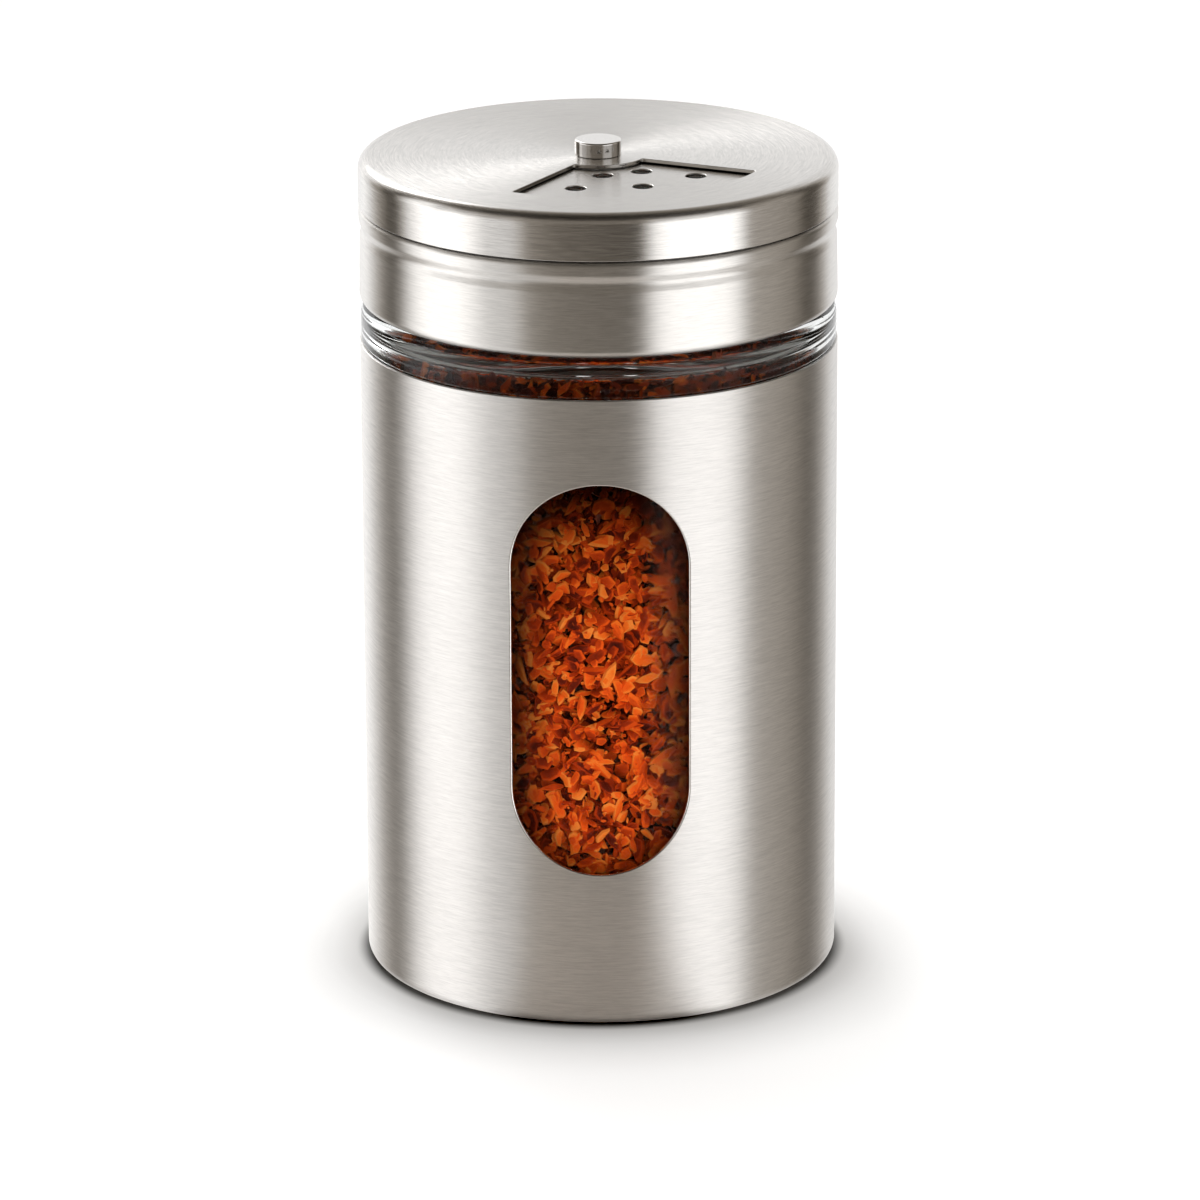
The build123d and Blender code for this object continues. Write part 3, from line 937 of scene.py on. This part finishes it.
# %% Holes in flat plates
HOLE_STEPS = 40
SECTOR_CORNER = 0.35 * mm
SECTOR_CORNER_STEPS = 5
SECTOR_ARC_STEPS = 40


def around(centre, radius, start, end, steps):
    """Points with normals on an arc: (x, y, normal x, normal y)."""
    turns = [start + (end - start) * i / steps for i in range(steps + 1)]
    ways = [(math.cos(turn), math.sin(turn)) for turn in turns]
    return [(centre[0] + radius * x, centre[1] + radius * y, x, y) for x, y in ways]


def round_hole(distance, heading, radius):
    """The edge of a round hole at a distance from the axis, in a heading in degrees."""
    a = math.radians(heading)
    return around((distance * math.cos(a), distance * math.sin(a)), radius, 0, math.tau, HOLE_STEPS)[:-1]


def sector_hole(inner, outer, heading, width):
    """The edge of a sector with slightly rounded corners, counter-clockwise."""
    first, last = math.radians(heading - width / 2), math.radians(heading + width / 2)
    quarter_turn = math.pi / 2
    edge = []
    # Each corner's distance out, its side, the way into the sector, and the quarters where its arc runs.
    corners = (
        (outer - SECTOR_CORNER, last, -1, 0, 1), (inner + SECTOR_CORNER, last, -1, 1, 2),
        (inner + SECTOR_CORNER, first, 1, 2, 3), (outer - SECTOR_CORNER, first, 1, 3, 4),
    )
    for distance, side, inwards, start, end in corners:
        swing = math.asin(SECTOR_CORNER / distance)
        turn = side + inwards * swing
        centre = (distance * math.cos(turn), distance * math.sin(turn))
        begin = (turn if start in (0, 2) else side) + start * quarter_turn
        finish = (turn if end in (2, 4) else side) + end * quarter_turn
        edge += around(centre, SECTOR_CORNER, begin, finish, SECTOR_CORNER_STEPS)
        if start == 1:
            arc = around((0, 0), inner, turn, first + swing, SECTOR_ARC_STEPS)[1:-1]
            edge += [(x, y, -nx, -ny) for x, y, nx, ny in arc]
        if start == 3:
            edge += around((0, 0), outer, turn, last - swing, SECTOR_ARC_STEPS)[1:-1]
    return edge


print("holes:", HOLE_STEPS, "points round, and", SECTOR_ARC_STEPS, "steps along each arc of a sector")

# %% Filling a flat with holes
SAME_PLACE = 1e-6


def holds(loop, place):
    """True if a flat place lies inside a closed loop of points."""
    odd = False
    for (x1, y1, *_), (x2, y2, *_) in zip(loop, loop[1:] + loop[:1]):
        if (y1 > place.y) != (y2 > place.y) and place.x < x1 + (place.y - y1) * (x2 - x1) / (y2 - y1):
            odd = not odd
    return odd


def fill_flat(shape, loops, upward):
    """Fills the flat between the first loop and the holes of the others with triangles."""
    numbers = [number for loop in loops for number in loop]
    flat = [Vector(shape.points[number][:2]) / mm for number in numbers]
    edges, start = [], 0
    for loop in loops:
        edges += [(start + i, start + (i + 1) % len(loop)) for i in range(len(loop))]
        start += len(loop)
    made, _, faces, origins, _, _ = delaunay_2d_cdt(flat, edges, [], 1, SAME_PLACE)
    holes = [[shape.points[number] for number in loop] for loop in loops[1:]]
    for face in faces:
        a, b, c = (made[i] for i in face)
        if any(holds(hole, (a + b + c) / 3 * mm) for hole in holes):
            continue
        corners = [numbers[origins[i][0]] for i in face]
        left_turn = (b - a).cross(c - a) > 0
        shape.faces.append(corners if left_turn == upward else corners[::-1])


def pierce(shape, low_ring, high_ring, holes):
    """Closes a plate between its lower and upper rings, with rounded holes through it."""
    low, high = shape.points[low_ring[0]][2], shape.points[high_ring[0]][2]
    top, bottom = [high_ring], [low_ring]
    for hole in holes:
        rows = []
        for offset, depth, away, up in cut_edge(high - low, EDGE_ROUNDING, EDGE_ROUNDING):
            points = [(x + nx * offset, y + ny * offset, high - depth) for x, y, nx, ny in hole]
            normals = [(nx * away, ny * away, up) for x, y, nx, ny in hole]
            rows.append(shape.ring(points, normals, cut=1.0 if depth > 0 else 0.0))
        for above, below in zip(rows, rows[1:]):
            shape.band(above, below)
        top.append(rows[0])
        bottom.append(rows[-1])
    fill_flat(shape, top, True)
    fill_flat(shape, bottom, False)


print("plates are filled between their holes")

# %% Sifter plate and turning cover
PIVOT_HOLE = 2.05 * mm
SPRINKLE_HOLE = 1.35 * mm
SPRINKLE_HOLES = ((8.9 * mm, (-86.25, -50.75)), (15.7 * mm, (-100.75, -68.5, -36.25)))
POURING_SECTOR = dict(inner=8.0 * mm, outer=21.9 * mm, heading=50, width=80)
COVER_SECTOR = dict(inner=6.3 * mm, outer=22.5 * mm, heading=-72, width=95)
plate_low, plate_high = (corner.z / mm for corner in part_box("sifter_plate"))
PLATE_CORNERS = in_mm(
    (28.6, plate_low, 0), (30.1, plate_low, 0.12), (30.1, plate_high, 0.12), (28.6, plate_high, 0)
)
COVER_CORNERS = in_mm((widest, cover_low, 0), (widest, cover_high, 1.5), (28.5, cover_high, 0))


def pierced_disc(line, holes, name):
    """A flat plate in the cover's steel, turned from an open section line and closed between its holes."""
    shape = Shape()
    rings = shape.turn(line, even_angles(TURN_STEPS), closed=False)
    pierce(shape, rings[0], rings[-1], holes)
    return shape.build(name, COVER_STEEL)


plate_holes = [round_hole(0, 0, PIVOT_HOLE), sector_hole(**POURING_SECTOR)]
for distance, headings in SPRINKLE_HOLES:
    plate_holes += [round_hole(distance, heading, SPRINKLE_HOLE) for heading in headings]
plate = pierced_disc(bent_line(PLATE_CORNERS, False), plate_holes, "sifter_disc")
finish_piece(plate, "lid", "brushed_lid", "sifter_plate")

cover_holes = [round_hole(0, 0, PIVOT_HOLE), sector_hole(**COVER_SECTOR)]
cover = pierced_disc(sheet_line(COVER_CORNERS, SHEET, flat_end=True), cover_holes, "turning_cover")
finish_piece(cover, "dial", "brushed_lid", "top_cover")

# %% Rivet
rivet_low, rivet_high = (corner.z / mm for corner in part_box("pivot_rivet"))
RIVET_CORNERS = in_mm(
    (0, rivet_low, 0), (3.2, rivet_low, 0.3), (3.2, rivet_low + 0.6, 0.05), (2.0, rivet_low + 0.6, 0.05),
    (2.0, cover_high + 0.02, 0.05), (3.05, cover_high + 0.02, 0.1), (3.05, rivet_high, 0.25),
    (0, rivet_high, 0),
)
rivet = turned_piece(bent_line(RIVET_CORNERS, True), "rivet", KNOB_STEEL, steps=FEWER_STEPS)
finish_piece(rivet, "lid_pivot", "polished_steel", "pivot_rivet")

# %% [markdown]
# ## The chilli flakes
# Thousands of flakes lie against the glass, each turned its own way. Geometry Nodes scatter fourteen flake
# shapes over the fill's surface, push each one in by its own depth, turn it, and keep its tone, darkened by
# painted shade the deeper it lies, as an attribute that the material reads. Only the parts that can be seen
# get flakes: behind the window, round the shoulder, and the heap under the mouth. Behind them lies a plain
# core, coloured dark as painted shade. The flakes' colour carries painted light: brightest in the window's
# middle and darker towards its edges and top, with painted shade in the gaps between them. The shoulder's
# flakes take a copy darkened by painted shade, and the heap's a copy at nearly full colour.

# %% Flake finish
FILL_RADIUS = 27.7
CORE_RADIUS = 25.6
# Painted light and shade for the flakes: shade in the gaps, light pooled in the window's middle, dimmer at
# its top.
GAP_RADII = ((CORE_RADIUS + 0.5) * mm, (FILL_RADIUS - 0.1) * mm)
GAP_LIGHT = 0.02
LIT_MIDDLE = WINDOW_MIDDLE - 2 * mm
WINDOW_FALL = (WINDOW_HALF_WIDTH + 1.5 * mm, WINDOW_HALF_WIDTH - 7 * mm)
WINDOW_LIGHT = (0.12, 0.98)
DIM_RISE = (WINDOW_MIDDLE + 4 * mm, WINDOW_MIDDLE + 24 * mm)
DIM_TOP = 0.3
RIM_LIGHTER = 0.26
FLAKE_GLOSS = 0.06
FLAKE_TONES = (
    (0.0, 0.012, 0.003, 0.002), (0.18, 0.14, 0.01, 0.002), (0.42, 0.5, 0.038, 0.003),
    (0.68, 0.9, 0.095, 0.007), (0.9, 0.97, 0.165, 0.015), (1.0, 0.98, 0.24, 0.035),
)


def painted_gap_shade(tree, place):
    """Painted shade between the flakes: full colour at the glass, little at the core."""
    radius = vector_node(tree, "LENGTH", vector_node(tree, "MULTIPLY", place, (1, 1, 0)))
    return rescale(tree, radius, GAP_RADII, (GAP_LIGHT, 1.0))


def painted_window_light(tree):
    """Painted light through the window: most in its middle, little near its edge, less towards the top."""
    place = object_place(tree)
    along = math_node(tree, "MULTIPLY", bearing(tree, place), SLEEVE_RADIUS)
    height = split(tree, place)[2]
    from_middle = math_node(tree, "ABSOLUTE", math_node(tree, "SUBTRACT", height, LIT_MIDDLE))
    beyond = math_node(tree, "MAXIMUM", math_node(tree, "SUBTRACT", from_middle, WINDOW_STRAIGHT), 0.0)
    squares = [math_node(tree, "POWER", side, 2) for side in (along, beyond)]
    away = math_node(tree, "SQRT", math_node(tree, "ADD", *squares))
    light = rescale(tree, away, WINDOW_FALL, WINDOW_LIGHT, soft=True)
    through = math_node(tree, "MULTIPLY", light, rescale(tree, height, DIM_RISE, (1.0, DIM_TOP)))
    return math_node(tree, "MULTIPLY", through, painted_gap_shade(tree, place))


def flake_finish(name, painted_light_share):
    """Dried chilli, coloured from each flake's stored attribute, with fine wrinkles and a slightly waxy skin.

    The second argument is the share of its colour that a dark and a bright flake keep, as painted shade, or
    None where the painted light of the window decides it."""
    material, tree, shader = new_material(name)
    patches = place_group(tree, PATCHES, Scale=900.0, Sharpness=1.6)
    fine = place_group(tree, PATCHES, Scale=4200.0, Sharpness=1.0)
    lighter = math_node(tree, "MULTIPLY", math_node(tree, "POWER", attribute(tree, "rim"), 6.0), RIM_LIGHTER)
    mottled = math_node(tree, "ADD", attribute(tree, "tone"), varied(tree, patches, 0.0, 0.1))
    colour = colours(tree, math_node(tree, "ADD", mottled, lighter), *FLAKE_TONES)
    # Colour and gloss are scaled by painted light: through the window, or by the given share.
    if painted_light_share is None:
        painted_light = painted_window_light(tree)
        gloss = math_node(tree, "MULTIPLY", painted_light, FLAKE_GLOSS)
    else:
        painted_light = spread(tree, math_node(tree, "POWER", mottled, 3.0), *painted_light_share)
        gloss = FLAKE_GLOSS
    feed_inputs(
        tree, shader, Base_Color=vector_node(tree, "SCALE", colour, painted_light), Specular_IOR_Level=gloss,
        Roughness=spread(tree, fine, 0.42, 0.7),
    )
    bump(tree, shader, math_node(tree, "ADD", patches, fine), 0.05 * mm)
    return material


def core_finish():
    """The mass behind the flakes, coloured dark: painted shade for the depth of the fill."""
    material, tree, shader = new_material("chilli_core")
    patches = place_group(tree, PATCHES, Scale=420.0, Sharpness=2.0)
    fine = place_group(tree, PATCHES, Scale=1500.0, Sharpness=1.5)
    grains = math_node(tree, "MULTIPLY", patches, fine)
    # Dark brown: painted shade for the depth of the fill.
    tint = colours(tree, grains, (0.1, 0.02, 0.006, 0.003), (0.6, 0.16, 0.022, 0.005))
    feed_inputs(tree, shader, Base_Color=tint, Roughness=spread(tree, fine, 0.6, 0.9))
    bump(tree, shader, grains, 0.5 * mm)
    return material


# Lit and shaded copies of one finish: the window's with painted light, the shoulder's darkened by painted
# shade, the heap's nearly full.
WINDOW_FLAKES = flake_finish("chilli_in_window", None)
SHADED_FLAKES = flake_finish("chilli_shaded", (0.025, 0.4))
LOOSE_FLAKES = flake_finish("chilli_loose", (0.8, 0.95))
print("flakes:", WINDOW_FLAKES.name, SHADED_FLAKES.name, LOOSE_FLAKES.name)

# %% Flake shapes
FLAKE_KINDS = 14
FLAKE_CORNERS = 7
FLAKE_STRETCH = 0.3
FLAKE_THICKNESS = (0.05, 0.13)
FLAKE_CURL = (-0.25, 0.35)
FLAKE_TWIST = (-0.3, 0.3)
CORNER_SWAY = (-0.3, 0.3)
CORNER_REACH = (0.36, 0.56)
CROWN = (0.8, 1.8)
TOP_SHARE = 0.92
FLAKE_SEED = 11


def flake_shape(dice, name, stretch):
    """One flake about 1 mm long: a thin, bent, irregular chip of 28 triangles."""
    thickness = dice.uniform(*FLAKE_THICKNESS)
    curl = dice.uniform(*FLAKE_CURL)
    twist = dice.uniform(*FLAKE_TWIST)
    rim = []
    for corner in range(FLAKE_CORNERS):
        turn = math.tau * (corner + dice.uniform(*CORNER_SWAY)) / FLAKE_CORNERS
        reach = dice.uniform(*CORNER_REACH)
        x, y = reach * math.cos(turn) * stretch, reach * math.sin(turn) / stretch
        rim.append((x, y, curl * x * x - curl * y * y + twist * x * y))
    points = [(x * TOP_SHARE, y * TOP_SHARE, z + thickness) for x, y, z in rim]
    points += [(x, y, z - thickness) for x, y, z in rim]
    points += [(0, 0, thickness * dice.uniform(*CROWN)), (0, 0, -thickness)]
    top, bottom = 2 * FLAKE_CORNERS, 2 * FLAKE_CORNERS + 1
    faces = []
    for i in range(FLAKE_CORNERS):
        j = (i + 1) % FLAKE_CORNERS
        under_i, under_j = FLAKE_CORNERS + i, FLAKE_CORNERS + j
        faces += [(i, j, top), (under_j, under_i, bottom), (under_i, under_j, j, i)]
    mesh = bpy.data.meshes.new(name)
    mesh.from_pydata([Vector(p) * mm for p in points], [], faces)
    at_rim = [1.0] * (len(points) - 2) + [0.0, 0.0]
    mesh.attributes.new("rim", "FLOAT", "POINT").data.foreach_set("value", at_rim)
    return bpy.data.objects.new(name, mesh)


flake_box = bpy.data.collections.new("flake_shapes")
dice = random.Random(FLAKE_SEED)
for kind in range(FLAKE_KINDS):
    flake_box.objects.link(flake_shape(dice, f"flake_{kind:02d}", 1 + FLAKE_STRETCH * (kind % 4)))

# %% Trees that make geometry


def geometry_tree(name, **inputs):
    """A tree from geometry to geometry. Each of its other inputs is a plain value or a kind of data."""
    tree = bpy.data.node_groups.new(name, "GeometryNodeTree")
    for way in ("INPUT", "OUTPUT"):
        tree.interface.new_socket("Geometry", in_out=way, socket_type="NodeSocketGeometry")
    for label, value in inputs.items():
        kind = {float: "Float", int: "Int"}.get(type(value), value)
        label = label.replace("_", " ")
        socket = tree.interface.new_socket(label, in_out="INPUT", socket_type=f"NodeSocket{kind}")
        if kind != value:
            socket.default_value = value
    return tree, tree.nodes.new("NodeGroupInput").outputs, tree.nodes.new("NodeGroupOutput").inputs[0]


def grow(base, tree, name, **values):
    """Runs a tree on a base object, with inputs by name, and keeps the result as a plain mesh."""
    modifier = base.modifiers.new("grow", "NODES")
    modifier.node_group = tree
    for item in tree.interface.items_tree:
        label = item.name.replace(" ", "_")
        if item.item_type == "SOCKET" and item.in_out == "INPUT" and label in values:
            modifier[item.identifier] = values[label]
    base.update_tag()
    ready = base.evaluated_get(bpy.context.evaluated_depsgraph_get())
    mesh = bpy.data.meshes.new_from_object(ready)
    base.modifiers.clear()
    bpy.data.objects.remove(base)
    mesh.name = name
    piece = bpy.data.objects.new(name, mesh)
    scene.collection.objects.link(piece)
    return piece


print("geometry_tree() makes a tree, and grow() turns its result into a mesh")

# %% Flake scattering tree
FLAKE_LIMIT = 27.9 * mm
SEED_STEPS = dict(depth=11, turn=23, size=37, kind=41, tone=53)
SMALL_ONES_COMMON = 1.7
DARKEST = 0.1
# How much darker the deepest flakes are made: painted shade.
BURIED_DIMMER = 0.5


def scatter_tree():
    """Scatters flakes over a surface, inside a given radius."""
    tree, given, made = geometry_tree(
        "scatter_flakes", Flakes="Collection", Finish="Material", Density=1.0e6, Smallest=0.6, Largest=2.4,
        Depth=1.5 * mm, Tilt=0.8, Reach=FLAKE_LIMIT, Front_Limit=1.0, Brightest=1.0, Seed=1,
    )

    def draw(what, kind, low, high):
        """A random value for each point, with its own seed."""
        node = add_node(tree, "FunctionNodeRandomValue", data_type=kind)
        live = {socket.name: socket for socket in node.inputs if socket.enabled}
        feed(tree, live["Min"], low)
        feed(tree, live["Max"], high)
        feed(tree, live["Seed"], math_node(tree, "ADD", given["Seed"], SEED_STEPS[what]))
        return next(socket for socket in node.outputs if socket.enabled)

    x, y, z = split(tree, tree.nodes.new("GeometryNodeInputPosition").outputs[0])
    front = add_node(tree, "FunctionNodeCompare", operation="LESS_THAN", A=y, B=given["Front Limit"])
    points = add_node(
        tree, "GeometryNodeDistributePointsOnFaces", Mesh=given["Geometry"], Selection=front.outputs[0],
        Density=given["Density"], Seed=given["Seed"],
    ).outputs
    depth = draw("depth", "FLOAT", 0.0, given["Depth"])
    inwards = vector_node(tree, "SCALE", points["Normal"], math_node(tree, "MULTIPLY", depth, -1.0))
    sunk = add_node(tree, "GeometryNodeSetPosition", Geometry=points["Points"], Offset=inwards)
    tilt = given["Tilt"]
    back = math_node(tree, "MULTIPLY", tilt, -1.0)
    low = in_order(tree, "ShaderNodeCombineXYZ", back, back)
    high = in_order(tree, "ShaderNodeCombineXYZ", tilt, tilt, math.tau)
    turned = add_node(
        tree, "FunctionNodeRotateRotation", rotation_space="LOCAL", Rotation=points["Rotation"],
        Rotate_By=draw("turn", "FLOAT_VECTOR", low, high),
    )
    chosen = add_node(tree, "GeometryNodeCollectionInfo", Collection=given["Flakes"], Separate_Children=True)
    uneven = math_node(tree, "POWER", draw("size", "FLOAT", 0.0, 1.0), SMALL_ONES_COMMON)
    flakes = add_node(
        tree, "GeometryNodeInstanceOnPoints", Points=sunk.outputs[0], Instance=chosen.outputs[0],
        Pick_Instance=True, Instance_Index=draw("kind", "INT", 0, FLAKE_KINDS - 1),
        Rotation=turned.outputs[0], Scale=spread(tree, uneven, given["Smallest"], given["Largest"]),
    )
    # Deeper flakes get a darker tone: painted shade, stored with the random tone in one attribute.
    buried = math_node(tree, "DIVIDE", depth, given["Depth"])
    shade = math_node(tree, "SUBTRACT", 1.0, math_node(tree, "MULTIPLY", buried, BURIED_DIMMER))
    brightness = draw("tone", "FLOAT", DARKEST, given["Brightest"])
    tone = add_node(
        tree, "GeometryNodeStoreNamedAttribute", data_type="FLOAT", domain="INSTANCE", Name="tone",
        Geometry=flakes.outputs[0], Value=math_node(tree, "MULTIPLY", brightness, shade),
    )
    real = add_node(tree, "GeometryNodeRealizeInstances", Geometry=tone.outputs[0])
    flat = in_order(tree, "ShaderNodeCombineXYZ", x, y)
    share = math_node(tree, "DIVIDE", given["Reach"], vector_node(tree, "LENGTH", flat))
    pull = math_node(tree, "SUBTRACT", math_node(tree, "MINIMUM", share, 1.0), 1.0)
    pulled = vector_node(tree, "SCALE", flat, pull)
    kept = add_node(tree, "GeometryNodeSetPosition", Geometry=real.outputs[0], Offset=pulled)
    finish = add_node(tree, "GeometryNodeSetMaterial", Geometry=kept.outputs[0], Material=given["Finish"])
    feed(tree, made, finish.outputs[0])
    return tree


SCATTER = scatter_tree()
print("tree:", SCATTER.name, "with", len(SCATTER.nodes), "nodes")

# %% Seasoning
CORE_FOOT = 7.2
WINDOW_BED = (16.5, 79.0)
WINDOW_BED_FRONT = -0.815 * FILL_RADIUS * mm
HEAP_RADIUS = 22.3
heap_edge = ceiling - 0.6
CORE_CORNERS = in_mm(
    (0, CORE_FOOT, 0), (CORE_RADIUS, CORE_FOOT, 3.0), (CORE_RADIUS, ceiling - 1.8, 2.0),
    (21.0, ceiling - 1.5, 0.5), (0, ceiling, 0),
)
FLAKE_BEDS = {
    "flakes_window": (
        in_mm(*((FILL_RADIUS, height, 0) for height in WINDOW_BED)),
        dict(
            Finish=WINDOW_FLAKES, Density=3.15e6, Smallest=0.55, Largest=2.9, Depth=2.2 * mm, Tilt=0.75,
            Front_Limit=WINDOW_BED_FRONT, Brightest=1.0, Seed=5,
        ),
    ),
    "flakes_shoulder": (
        in_mm(
            (FILL_RADIUS, ceiling - 5.0, 0), (FILL_RADIUS, ceiling - 1.0, 2.0), (HEAP_RADIUS, heap_edge, 0)
        ),
        dict(
            Finish=SHADED_FLAKES, Density=2.4e6, Smallest=0.6, Largest=2.2, Depth=1.2 * mm, Tilt=0.6,
            Brightest=0.9, Seed=17,
        ),
    ),
    "flakes_heap": (
        in_mm((HEAP_RADIUS, heap_edge, 0), (0, ceiling + 1.2, 0)),
        dict(
            Finish=LOOSE_FLAKES, Density=2.2e6, Smallest=0.7, Largest=2.6, Depth=0.6 * mm, Tilt=0.7,
            Brightest=1.0, Seed=29,
        ),
    ),
}
core = turned_piece(bent_line(CORE_CORNERS, True), "flake_core", core_finish(), steps=FEWER_STEPS)
finish_piece(core, "jar", "seasoning", "seasoning_fill")
for bed_name, (bed_corners, bed_values) in FLAKE_BEDS.items():
    bed_line = bent_line(bed_corners, False)
    bed = turned_piece(bed_line, "bed", LOOSE_FLAKES, steps=FEWER_STEPS, closed=False)
    flakes = grow(bed, SCATTER, bed_name, Flakes=flake_box, Reach=FLAKE_LIMIT, **bed_values)
    finish_piece(flakes, "jar", "seasoning")
for shape_object in list(flake_box.objects):
    bpy.data.objects.remove(shape_object)

# %% [markdown]
# ## The thread
# A moulded thread is a ridge that climbs round a wall by its pitch at each turn and fades away at both
# ends. One node tree sweeps an oval along such a climbing line. It runs twice: outwards on the glass neck,
# and inwards on the plastic insert half a pitch lower, so that the two ridges mesh and the lid rises by one
# pitch at each turn.

# %% Thread tree
THREAD_PITCH = 3.0 * mm
THREAD_TURNS = 1.5
THREAD_WIDTH = 1.2 * mm
THREAD_FADE = 0.1
THREAD_STEPS = 120
OVAL_STEPS = 16


def thread_tree():
    """Sweeps an oval ridge along a right-hand thread line."""
    tree, given, made = geometry_tree(
        "thread_ridge", Finish="Material", Radius=25.0 * mm, Low=0.0, Ridge=0.9 * mm, Width=THREAD_WIDTH
    )
    climb = add_node(
        tree, "GeometryNodeCurveSpiral", Resolution=THREAD_STEPS, Rotations=THREAD_TURNS,
        Height=THREAD_TURNS * THREAD_PITCH, Start_Radius=given["Radius"], End_Radius=given["Radius"],
    )
    foot = in_order(tree, "ShaderNodeCombineXYZ", 0.0, 0.0, given["Low"])
    raised = add_node(tree, "GeometryNodeTransform", Geometry=climb.outputs[0], Translation=foot)
    upright = add_node(tree, "GeometryNodeSetCurveNormal", mode="Z_UP", Curve=raised.outputs[0])
    along = tree.nodes.new("GeometryNodeSplineParameter").outputs["Factor"]
    nearest = math_node(tree, "MINIMUM", along, math_node(tree, "SUBTRACT", 1.0, along))
    fade = spread(tree, math_node(tree, "DIVIDE", nearest, THREAD_FADE), 0.08, 1.0)
    half_width = math_node(tree, "MULTIPLY", given["Width"], 0.5)
    oval = in_order(tree, "ShaderNodeCombineXYZ", given["Ridge"], half_width)
    circle = add_node(tree, "GeometryNodeCurvePrimitiveCircle", Resolution=OVAL_STEPS)
    section = add_node(tree, "GeometryNodeTransform", Geometry=circle.outputs["Curve"], Scale=oval)
    ridge = add_node(
        tree, "GeometryNodeCurveToMesh", Curve=upright.outputs[0], Profile_Curve=section.outputs[0],
        Scale=fade, Fill_Caps=True,
    )
    real = add_node(tree, "GeometryNodeRealizeInstances", Geometry=ridge.outputs[0])
    finish = add_node(tree, "GeometryNodeSetMaterial", Geometry=real.outputs[0], Material=given["Finish"])
    feed(tree, made, finish.outputs[0])
    return tree


THREAD = thread_tree()
print("tree:", THREAD.name, "with", len(THREAD.nodes), "nodes")

# %% Thread ridges
INSERT_BORE = 26.5 * mm
THREAD_LOW = (rim - 9.9) * mm
THREADS = (
    (
        "neck_thread", "jar", "clear_glass",
        dict(Finish=GLASS, Radius=NECK_RADIUS * mm, Low=THREAD_LOW, Ridge=0.95 * mm),
    ),
    (
        "insert_thread", "lid", "insert_plastic",
        dict(Finish=INSERT_PLASTIC, Radius=INSERT_BORE, Low=THREAD_LOW - THREAD_PITCH / 2, Ridge=0.85 * mm),
    ),
)
for thread_name, thread_body, thread_slot, thread_values in THREADS:
    holder = bpy.data.objects.new("holder", bpy.data.meshes.new("holder"))
    scene.collection.objects.link(holder)
    thread_piece = grow(holder, THREAD, thread_name, Width=THREAD_WIDTH, **thread_values)
    thread_piece.data.polygons.foreach_set("use_smooth", [True] * len(thread_piece.data.polygons))
    finish_piece(thread_piece, thread_body, thread_slot)

# %% [markdown]
# ## The carried-over pieces
# Ring, washers, cushion and insert are plain turned or moulded parts in the engineering model, and their
# shapes are right as they are. They only need their finishes.

# %% Finishes for the carried-over pieces
CARRIED_OVER = {
    "thread_insert": INSERT_PLASTIC,
    "seal_ring": SEAL_RUBBER,
    "base_cushion": CUSHION_RUBBER,
    "slip_washer": WASHER_PLASTIC,
    "spring_washer": KNOB_STEEL,
    "flat_washer": KNOB_STEEL,
}
for node_name, material in CARRIED_OVER.items():
    for material_slot in frame["nodes"][node_name].material_slots:
        material_slot.material = material
print("finished:", ", ".join(CARRIED_OVER))
